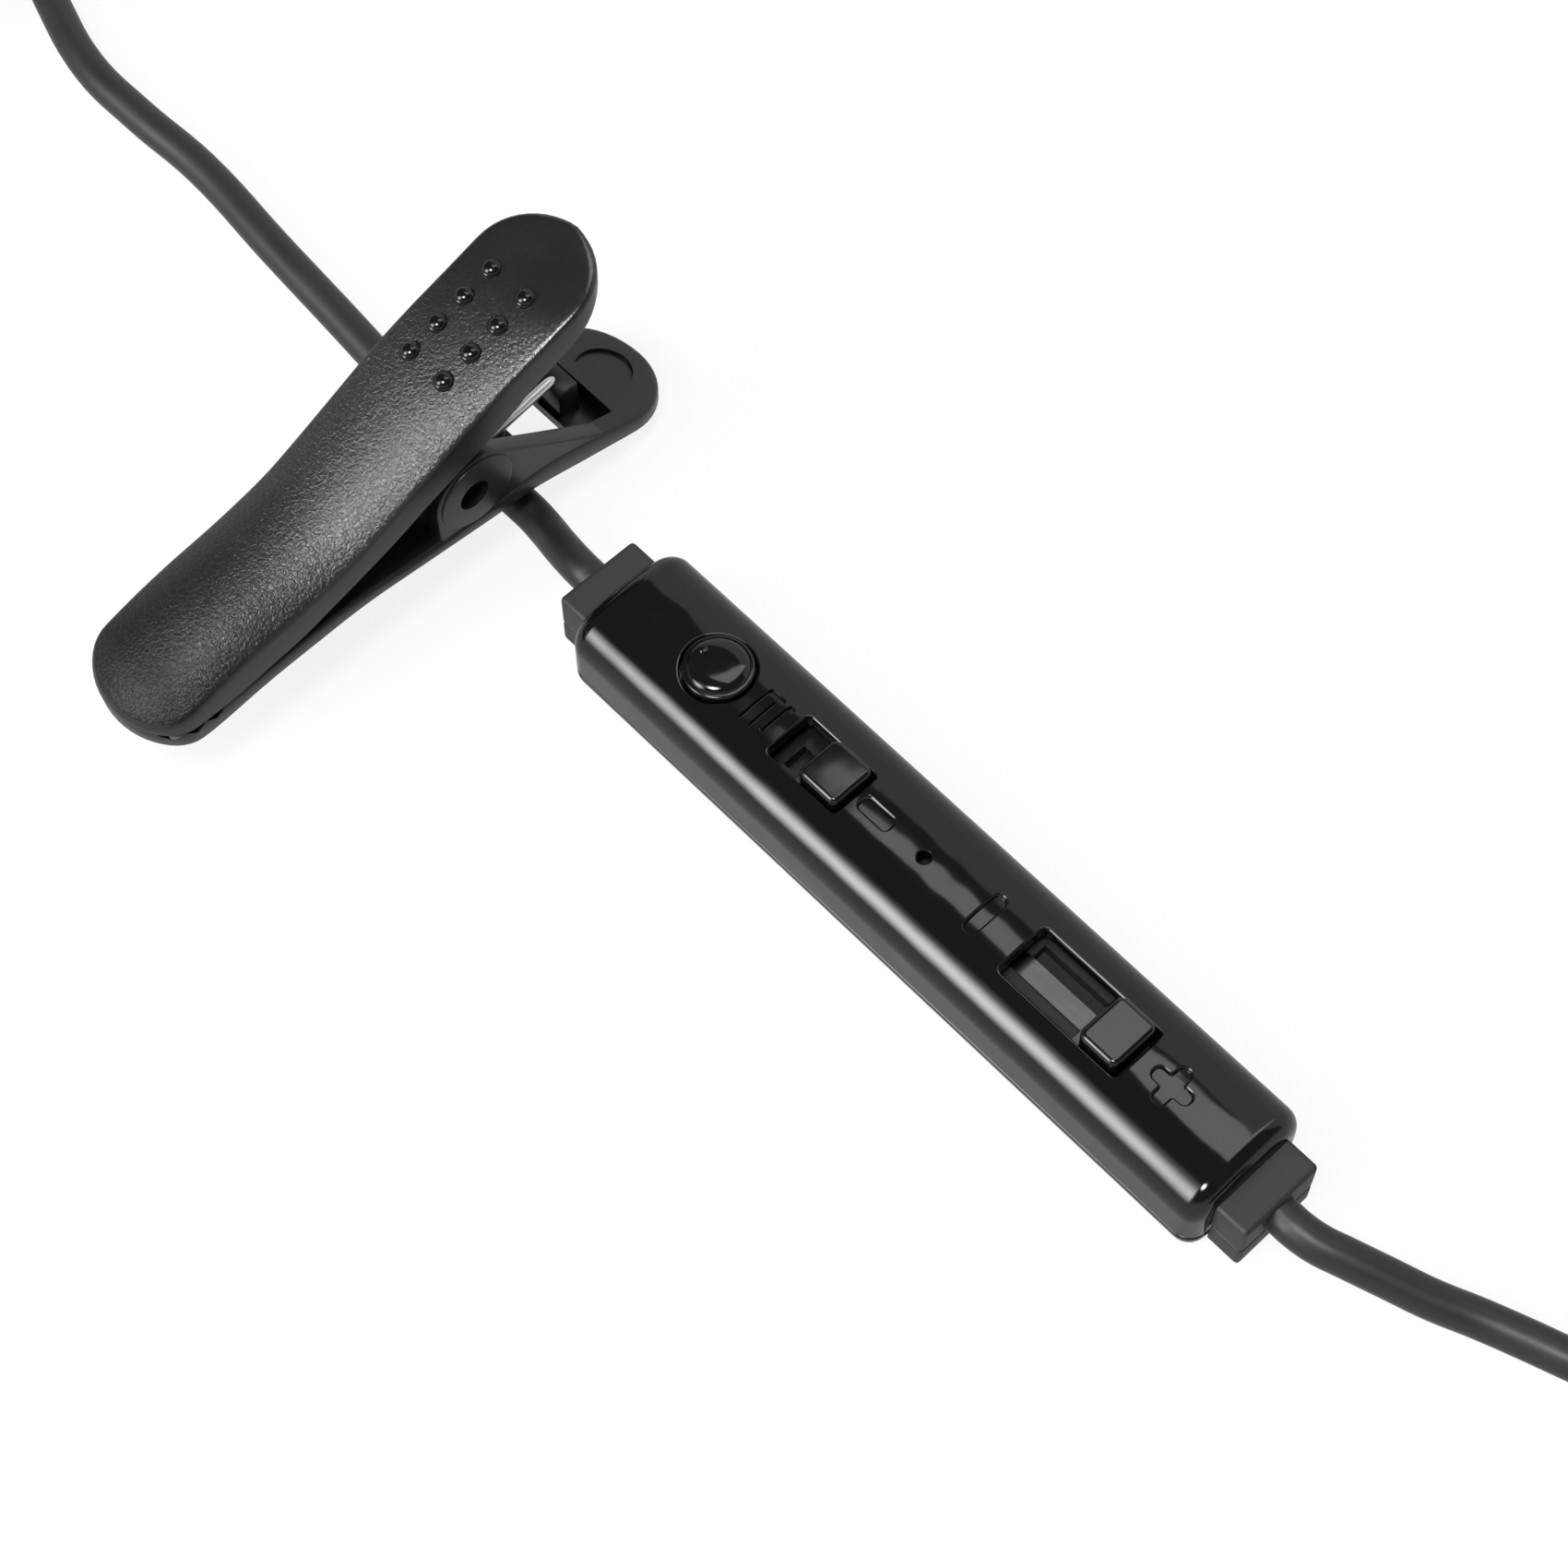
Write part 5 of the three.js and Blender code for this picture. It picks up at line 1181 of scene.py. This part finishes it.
def zigzag(offset):
    """The line of the teeth, run out 4 mm past the last one."""
    line = [(TOOTH_START - TOOTH_PITCH * (TOOTH_COUNT + 0.5) - 4, TOOTH_LINE + offset)]
    for i in range(TOOTH_COUNT, 0, -1):
        line.append((TOOTH_START - TOOTH_PITCH * i, TOOTH_LINE + offset))
        line.append((TOOTH_START - TOOTH_PITCH * (i - 0.5), TOOTH_LINE - TOOTH_HEIGHT + offset))
    line.append((TOOTH_START, TOOTH_LINE + offset))
    return line


def scaled(sizes, shares):
    """A side outline, drawn in shares of the clip's span and height, in millimetres."""
    return [(y * sizes.span / MM, z * sizes.height / MM) for y, z in shares]


def axle(name, radius, x0, x1, y=0, steps=40, edge=0):
    """A round bar across the clip, through its pivot or at a place beside it."""
    profile = [(0, x0), (radius, x0), (radius, x1), (0, x1)]
    if edge:
        profile = softened(profile, edge, 3, closed=False)
    return turned(name, profile, (0, y, 0), "X", steps)


def upper_lever(sizes):
    plan = LeverPlan(sizes, *UPPER_REACH, sizes.handle / MM / 2, sizes.handle / MM / 2)
    top = smooth_line(scaled(sizes, UPPER_TOP))
    sides = smooth_line(scaled(sizes, UPPER_EDGE))
    rim = smooth_line(scaled(sizes, UPPER_RIM))

    def crown(x, y, inset):
        """The top face: crowned across the jaw, faintly dished inside a soft rim at the handle end."""
        half = max(plan.half_width(y, 1), 0.6)
        across = min(abs(x) / half, 1)
        middle, side = height_on(top, y), height_on(sides, y)
        dish = ease(inset, 0.3, 1.6) * 0.12 + ease(inset, 1.0, 4.2) * 0.3
        return middle + (side - middle) * across ** 2.2 - dish * ease(y, 6.5, 11)

    def edge(drop):
        return lambda x, y, inset: crown(x, y, 0.3) - drop
    rings = [plan.ring(CLOSED, lambda x, y, i: height_on(rim, y) + 0.02)]
    for inset in (3.4, 2.2, 1.2, 0.5, 0.25):
        rings.append(plan.ring(inset, lambda x, y, i: height_on(rim, y)))
    rings.append(plan.ring(0.05, lambda x, y, i: height_on(rim, y) + 0.03))
    rings.append(plan.ring(0, lambda x, y, i: height_on(rim, y) + 0.1))
    for inset, drop in ((0, 0.36), (0.03, 0.2), (0.1, 0.08), (0.2, 0.02)):
        rings.append(plan.ring(inset, edge(drop)))
    for inset in (0.35, 0.5, 0.7, 0.9, 1.1, 1.35, 1.6, 1.9, 2.3, 2.8, 3.3, 3.8, 4.15, CLOSED):
        rings.append(plan.ring(inset, crown))
    lever = ring_skin("clip_upper_shell", rings, capped=False)
    wall = 1.0

    def ceiling(x, y, inset):
        return min(height_on(top, y), height_on(sides, y) + 0.7) - SKIN - 0.3

    def clipped(points):
        """Keeps the hollow short of the teeth."""
        return [(x, max(y, TOOTH_START + TOOTH_PITCH), z) for x, y, z in points]
    hollow = ring_skin("hollow", [
        clipped(plan.ring(CLOSED, lambda x, y, i: -30)),
        clipped(plan.ring(wall, lambda x, y, i: -30)),
        clipped(plan.ring(wall, lambda x, y, i: ceiling(x, y, i) - 0.4)),
        clipped(plan.ring(wall + 0.15, lambda x, y, i: ceiling(x, y, i) - 0.12)),
        clipped(plan.ring(wall + 0.5, ceiling)),
        clipped(plan.ring(CLOSED, ceiling)),
    ], capped=False)
    combine(lever, hollow)
    teeth = zigzag(BITE_GAP) + [(TOOTH_START, -8), (-32, -8)]
    combine(lever, drawn_out("teeth", teeth, -6, 6))
    return lever, top, crown


def inner_ear(side, top):
    """One of the upper lever's ears, which stand between the lower lever's."""
    inside, outside = 2.05, 2.85
    outline = [(2.3 * math.cos(a), 2.3 * math.sin(a)) for a in
               [math.pi + math.pi * i / 16 for i in range(17)]]
    outline += [(2.3, height_on(top, 2.3) - 0.5), (0, height_on(top, 0) - 0.5),
                (-2.3, height_on(top, -2.3) - 0.5)]
    x0, x1 = sorted((side * inside, side * outside))
    return drawn_out("ear", outline, x0, x1)


def lower_lever(sizes):
    plan = LeverPlan(sizes, *LOWER_REACH, 4.5, 3)
    top = smooth_line(scaled(sizes, LOWER_TOP))
    base = smooth_line(scaled(sizes, LOWER_BASE))

    def over(drop):
        return lambda x, y, inset: height_on(top, y) - drop

    def under(lift):
        return lambda x, y, inset: height_on(base, y) + lift
    rings = [plan.ring(CLOSED, under(0)), plan.ring(2, under(0)), plan.ring(0.8, under(0.02)),
             plan.ring(0.35, under(0.08)), plan.ring(0.12, under(0.2)), plan.ring(0, under(0.42))]
    rings += [plan.ring(0, over(0.3)), plan.ring(0.05, over(0.14)), plan.ring(0.16, over(0.04)),
              plan.ring(0.32, over(0)), plan.ring(0.8, over(0)), plan.ring(2, over(0)),
              plan.ring(3.3, over(0)), plan.ring(CLOSED, over(0))]
    lever = ring_skin("clip_lower_shell", rings, capped=False)
    for side in (-1, 1):
        x0, x1 = sorted((side * 3.1, side * 4.35))
        combine(lever, drawn_out("ear", ear_outline(top), x0, x1, edge=0.16, steps=3), "UNION")
        x0, x1 = sorted((side * 3.3, side * 4.5))
        combine(lever, axle("ear_disc", 2.9, x0, x1, 0.3, 56, edge=0.1), "UNION")
    bite = [(-32, 6), (-32, TOOTH_LINE - BITE_GAP)] + zigzag(-BITE_GAP) + [(TOOTH_START, 6)]
    combine(lever, drawn_out("bite", bite, -6, 6))
    combine(lever, axle("bore", 1.15, -6, 6))
    combine(lever, soft_block("window", (-2.7, 5.9, -12), (2.7, 9.65, 0), 0.3))
    combine(lever, face_cut("pocket", top, 1.2, 9.5, 12.7, -3.1, 3.1))
    first, last = math.radians(-34), math.radians(214)
    outline = [(-0.15 + 1.95 * math.cos(first + (last - first) * i / 28),
                14.85 + 1.95 * math.sin(first + (last - first) * i / 28)) for i in range(29)]
    recess = [[(x, y, height_on(top, y) - depth) for x, y in outline] for depth in (0.25, -3)]
    combine(lever, ring_skin("recess", recess))
    stud_hole = [(0, -12), (1.25, -12), (1.25, 0), (0, 0)]
    combine(lever, turned("stud_hole", stud_hole, (0, STUD_Y, 0), steps=32))
    seat = soft_block("seat", (-1.2, 10, height_on(top, 11.7) - 1.4), (1.0, 11.7, -2.85), 0.12, 2)
    combine(lever, seat, "UNION")
    return lever, top


def ear_outline(floor):
    """The lower lever's ear: round about the pin, with a straight rib down to the handle."""
    shift, radius, slope, rib_end = 0.3, 3.2, 0.884, 10.9
    lean = math.atan(1 / slope)
    left = shift - radius
    outline = [(left, height_on(floor, left) - SKIN)]
    outline += [(y, height_on(floor, y) - SKIN * 0.7) for y in (0, 3, 6, 9)]
    outline += [(rib_end, height_on(floor, rib_end) - SKIN / 2), (rib_end, height_on(floor, rib_end))]
    for i in range(25):
        angle = lean + (math.pi - lean) * i / 24
        outline.append((shift + radius * math.cos(angle), radius * math.sin(angle)))
    return outline


def face_cut(name, top, depth, start, end, x0, x1):
    """A cutter whose floor lies a depth below a lever's top face."""
    places = [start + (end - start) * i / 8 for i in range(9)]
    line = [(y, height_on(top, y) - depth) for y in places]
    return drawn_out(name, line + [(end, 6), (start, 6)], x0, x1)


def spring_line():
    """The spring's centre line and its thickness: rounded at both ends, wound about the pin."""
    radius, pitch = 1.6, 1.15
    leg = Vector((-0.1, 10.7, -2.45))
    start = math.radians(-94)
    leave = math.radians(127)
    sweep = start - leave + 6 * math.pi
    turns = sweep / (2 * math.pi)
    half = pitch * turns / 2

    def at(share):
        angle = start - share * sweep
        return Vector((half - 2 * half * share, radius * math.cos(angle), radius * math.sin(angle)))
    points = []
    first = at(0)
    for reach, thick in ((0, 0.02), (0.012, 0.5), (0.03, 0.82), (0.05, 0.97), (0.08, 1)):
        points.append((leg.lerp(first, reach), thick))
    points += [(leg.lerp(first, share), 1) for share in (0.3, 0.6, 0.85)]
    steps = round(turns * 24)
    points += [(at(i / steps), 1) for i in range(steps + 1)]
    last = at(1)
    # Low enough for the upper lever to come down over it when the clip is open
    rise = math.radians(21)
    heading = Vector((0, math.cos(rise), math.sin(rise)))
    straight = ((1.5, 1), (4, 1), (7, 1), (8.9, 1), (9.2, 0.97), (9.36, 0.82), (9.46, 0.5), (9.5, 0.02))
    points += [(last + heading * reach, thick) for reach, thick in straight]
    return points


def wire_piece(name, points, diameter):
    """Round wire along a centre line, as a mesh."""
    shape = bpy.data.curves.new(name, "CURVE")
    shape.dimensions = "3D"
    shape.bevel_depth = diameter / 2
    shape.bevel_resolution = 6
    shape.resolution_u = 3
    shape.use_fill_caps = True
    line = shape.splines.new("BEZIER")
    line.bezier_points.add(len(points) - 1)
    for knot, (point, thick) in zip(line.bezier_points, points):
        knot.co = point
        knot.radius = thick
        knot.handle_left_type = "AUTO"
        knot.handle_right_type = "AUTO"
    piece = bpy.data.objects.new(name, shape)
    bpy.context.scene.collection.objects.link(piece)
    take(piece)
    bpy.ops.object.convert(target="MESH")
    piece = bpy.context.object
    close_up(piece, 1e-3)
    return piece


class LAVALIER_OT_clip(bpy.types.Operator):
    """Builds the lapel clip: both levers, pin, torsion spring and the ring that holds the cord"""
    bl_idname = "lavalier.clip"
    bl_label = "Lapel clip"

    def execute(self, context):
        sizes = context.scene.lavalier_clip
        upper, top, crown = upper_lever(sizes)
        for side in (-1, 1):
            combine(upper, inner_ear(side, top), "UNION")
        combine(upper, axle("bore", 1.1, -4.6, 4.6))
        # Two rows of four raised dots, which give the thumb a hold
        dots = [(-0.4 + row * 1.575, 1.25 + i * 2.3) for row in (-1, 1) for i in range(4)]
        angles = [math.pi / 2 * i / 6 for i in range(7)]
        for x, y in dots:
            foot = crown(x, y, 2) - 0.06
            dome = [(0, foot - 0.5), (0.74, foot - 0.5), (0.74, foot), (0.69, foot + 0.1)]
            dome += [(0.64 * math.cos(a), foot + 0.14 + 0.36 * math.sin(a)) for a in angles]
            combine(upper, turned("dot", dome, (x, y, 0), steps=28), "UNION")
        lower, lower_top = lower_lever(sizes)
        grained, satin = wanted("grained_abs"), wanted("satin_abs")
        for lever in (upper, lower):
            move(lever, PIVOT)
        polished = wanted("polished_abs")
        finished(upper, "upper_lever", "matte_black", ["clip_upper_lever"], grained, satin, polished)
        finished(lower, "lower_lever", "matte_black", ["clip_lower_lever"], grained, satin, smooth=0.7)
        mark_side_walls(upper, 0.55, dots)
        mark_side_walls(lower, 2, [])
        # The pin's dark steel is painted shade: it stands in for the shadow inside the pin hole
        pin = move(axle("clip_pin", 0.9, -3.5, 3.5, edge=0.12), PIVOT)
        finished(pin, "lower_lever", "bright_steel", ["clip_pivot_pin"], wanted("blued_steel_and_pin_shade"))
        spring = move(wire_piece("clip_torsion_spring", spring_line(), sizes.wire / MM), PIVOT)
        finished(spring, "lower_lever", "bright_steel", ["clip_spring"], wanted("spring_steel"))
        ring = cord_ring(lower_top)
        finished(ring, "remote", "matte_black", ["clip_cord_ring"], satin)
        return {"FINISHED"}


def mark_side_walls(lever, least, dots):
    """Gives the smoother finish to faces that don't look up, and the polished one to the dots."""
    for face in lever.data.polygons:
        face.material_index = 0 if face.normal.z > least else 1
        corners = [lever.data.vertices[i].co / MM - Vector(PIVOT) for i in face.vertices]
        for x, y in dots:
            if all(math.hypot(c.x - x, c.y - y) < 0.76 for c in corners):
                face.material_index = 2


def cord_ring(top):
    """The swivelling ring: a hoop open at the bottom, its boss and the headed stud above it."""
    outer, inner = 1.9, 1.45
    mouth = math.radians(35)
    sweep = math.pi + 2 * mouth
    angles = [-mouth + sweep * i / 32 for i in range(33)]
    outline = [(outer * math.cos(a), outer * math.sin(a)) for a in angles]
    outline += [(inner * math.cos(a), inner * math.sin(a)) for a in reversed(angles)]
    hoop = drawn_out("clip_cord_hoop", outline, -2, 2, edge=0.1, steps=2)
    drop = 3.3 - CORD_HEIGHT
    boss = turned("boss", [(0, 0.7), (1.5, 0.7), (1.5, drop), (0, drop)], steps=40)
    combine(boss, axle("bore", inner, -4, 4, steps=64))
    plate = height_on(top, STUD_Y) + PIVOT[2] - CORD_HEIGHT + 0.1
    profile = softened([(0, drop - 0.1), (1.1, drop - 0.1), (1.1, plate), (1.45, plate),
                        (1.45, plate + 0.4), (0, plate + 0.4)], 0.12, 3, closed=False)
    combine(hoop, boss, "UNION")
    combine(hoop, turned("stud", profile, steps=40), "UNION")
    return move(hoop, (PIVOT[0], PIVOT[1] + STUD_Y, CORD_HEIGHT))


# Plug and socket, turned about lines that point to -Y

def ribbed_relief(grip_radius, grip_length):
    """A tapered strain relief with rings, running into a round grip."""
    profile = [(0, 0), (1.4, 0)]
    count = 5
    for i in range(count):
        start = 0.5 + i * 1.45
        radius = 1.42 + 0.62 * (start / 8)
        profile += softened(
            [(radius, start), (radius, start + 0.95), (radius - 0.22, start + 0.95),
             (radius - 0.22, start + 1.45), (radius, start + 1.45)], 0.08, 2, closed=False)[:-1]
    profile += [(2.1, 7.85)]
    body = [(2.1, 7.85), (grip_radius - 0.55, 8.0), (grip_radius - 0.15, 8.15), (grip_radius, 8.6),
            (grip_radius, 8 + grip_length - 0.3), (grip_radius - 0.08, 8 + grip_length - 0.08),
            (grip_radius - 0.3, 8 + grip_length), (0, 8 + grip_length)]
    return profile + body[1:]


class LAVALIER_OT_plug(bpy.types.Operator):
    """Builds the four-pole plug"""
    bl_idname = "lavalier.plug"
    bl_label = "Plug"

    def execute(self, context):
        place = (105.2, 3.7, 3.1)
        grip = turned("plug_grip_moulding", ribbed_relief(3, 14), place, "-Y", 56)
        finished(grip, "remote", "matte_black", ["plug_grip"], wanted("matte_tpe"))
        at = 22.0
        nickel, resin = wanted("nickel_plate"), wanted("chip_resin")
        rows = [
            ("plug_collar_ring", "plug_collar", 2.6, 1.0, nickel, "nickel", 0.15),
            ("plug_sleeve_contact", "plug_sleeve", 1.75, 5.6, nickel, "nickel", 0.05),
            ("plug_band_1", "plug_insulator_1", 1.7, 0.6, resin, "chip_black", 0.02),
            ("plug_ring_1", "plug_pole_1", 1.75, 1.7, nickel, "nickel", 0.05),
            ("plug_band_2", "plug_insulator_2", 1.7, 0.6, resin, "chip_black", 0.02),
            ("plug_ring_2", "plug_pole_2", 1.75, 1.7, nickel, "nickel", 0.05),
            ("plug_band_3", "plug_insulator_3", 1.7, 0.6, resin, "chip_black", 0.02),
        ]
        for name, node, radius, length, finish, slot, edge in rows:
            profile = softened(
                [(0, at), (radius, at), (radius, at + length), (0, at + length)], edge, 3, closed=False)
            finished(turned(name, profile, place, "-Y"), "remote", slot, [node], finish)
            at += length
        shape = [
            (0, 0), (1.75, 0), (1.75, 0.12), (1.4, 0.42), (1.08, 0.85), (1.02, 1.02), (1.12, 1.2),
            (1.6, 1.85), (1.75, 2.11), (1.7, 2.4), (1.5, 2.72), (1.1, 3.05), (0.6, 3.3), (0, 3.4)]
        tip = [(radius, at + height) for radius, height in shape]
        finished(turned("plug_tip_contact", tip, place, "-Y"), "remote", "nickel", ["plug_tip"], nickel)
        return {"FINISHED"}


class LAVALIER_OT_socket(bpy.types.Operator):
    """Builds the in-line socket's shell and front bush"""
    bl_idname = "lavalier.socket"
    bl_label = "Socket"

    def execute(self, context):
        place = (-132.4, -4.8, 3.7)
        shell = turned("socket_moulding", ribbed_relief(3.6, 20), place, "-Y", 64)
        bore = [(0, 12.4), (2.8, 12.4), (2.8, 26.4), (3.2, 26.4), (3.2, 30), (0, 30)]
        combine(shell, turned("bore", bore, place, "-Y", 64))
        finished(shell, "remote", "matte_black", ["socket_shell"], wanted("matte_tpe"))
        ring = [(1.85, 26.4), (3.05, 26.4), (3.05, 27.85), (2.95, 28), (2.05, 28), (1.85, 27.8)]
        bush = turned("socket_front_bush", ring, place, "-Y", 56)
        finished(bush, "remote", "nickel", ["socket_bush"], wanted("nickel_plate"))
        return {"FINISHED"}


class LAVALIER_OT_ties(bpy.types.Operator):
    """Builds the rubber tie round each coil"""
    bl_idname = "lavalier.ties"
    bl_label = "Coil ties"

    def execute(self, context):
        for name, node in (("plug_side_tie", "plug_coil_tie"), ("clip_side_tie", "clip_coil_tie")):
            low, high = (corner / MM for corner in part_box(node))
            wall = 0.4
            outer = softened(rectangle(low.y, high.y, low.z, high.z), 1.2, 5)
            inner = softened(
                rectangle(low.y + wall, high.y - wall, low.z + wall, high.z - wall), 0.8, 5)
            band = drawn_out(name, outer, low.x, high.x, edge=0.12, steps=2)
            combine(band, drawn_out("inside", inner, low.x - 1, high.x + 1))
            finished(band, "remote", "rubber_black", [node], wanted("matte_rubber"))
        return {"FINISHED"}


class LAVALIER_OT_inside(bpy.types.Operator):
    """Gives the frame's own inner parts their finishes"""
    bl_idname = "lavalier.inside"
    bl_label = "Inside parts"

    def execute(self, context):
        grounds = [n for n in NODES if n.endswith("lead_ground")]
        others = [n for n in NODES if "_lead_" in n and "ground" not in n]
        looks = {
            "lacquered_board": ["circuit_board"],
            "chip_resin": ["amplifier_chip", "bias_resistor", "key_switch_body", "volume_track",
                           "socket_insert", "volume_frame"],
            "fired_ceramic": ["capacitor_1", "capacitor_2"],
            "white_nylon": ["key_switch_plunger", *others],
            "stamped_brass": ["mode_contact", "volume_wiper", "socket_contact_tip",
                              "socket_contact_ring", *grounds],
            # The mode switch frame's near-black finish is painted shade for the inside of its slot
            "painted_slot_shade": ["mode_switch_frame"],
            "blued_steel_and_pin_shade": ["volume_cover_plate"],
            "nickel_plate": ["microphone_capsule"],
            "matte_rubber": ["microphone_boot", "dust_cloth"],
        }
        for look, names in looks.items():
            for name in names:
                mesh = NODES[name].data
                mesh.materials.clear()
                mesh.materials.append(wanted(look))
        return {"FINISHED"}


class LAVALIER_PT_panel(bpy.types.Panel):
    bl_idname = "LAVALIER_PT_panel"
    bl_label = "Lavalier microphone"
    bl_space_type = "VIEW_3D"
    bl_region_type = "UI"
    bl_category = "Lavalier"

    def draw(self, context):
        layout = self.layout
        for group in GROUPS:
            sizes = getattr(context.scene, group)
            for name in sizes.bl_rna.properties.keys():
                if name not in ("rna_type", "name"):
                    layout.prop(sizes, name)
        for operator in OPERATORS:
            layout.operator(operator.bl_idname)


OPERATORS = (
    LAVALIER_OT_stage, LAVALIER_OT_cords, LAVALIER_OT_remote_box, LAVALIER_OT_controls,
    LAVALIER_OT_stubs, LAVALIER_OT_clip, LAVALIER_OT_plug, LAVALIER_OT_socket, LAVALIER_OT_ties,
    LAVALIER_OT_inside,
)
GROUPS = {
    "lavalier_remote": RemoteSizes,
    "lavalier_clip": ClipSizes,
    "lavalier_cord": CordSizes,
    "lavalier_finishes": Finishes,
}


def register():
    for kind in (*GROUPS.values(), *OPERATORS, LAVALIER_PT_panel):
        bpy.utils.register_class(kind)
    for name, kind in GROUPS.items():
        setattr(bpy.types.Scene, name, bpy.props.PointerProperty(type=kind))


def unregister():
    for name in GROUPS:
        delattr(bpy.types.Scene, name)
    for kind in reversed((*GROUPS.values(), *OPERATORS, LAVALIER_PT_panel)):
        bpy.utils.unregister_class(kind)


def main():
    register()
    rest()
    bpy.ops.lavalier.stage()
    bpy.ops.lavalier.cords()
    bpy.ops.lavalier.remote_box()
    bpy.ops.lavalier.controls()
    bpy.ops.lavalier.stubs()
    bpy.ops.lavalier.clip()
    bpy.ops.lavalier.plug()
    bpy.ops.lavalier.socket()
    bpy.ops.lavalier.ties()
    bpy.ops.lavalier.inside()


if __name__ == "__main__":
    main()
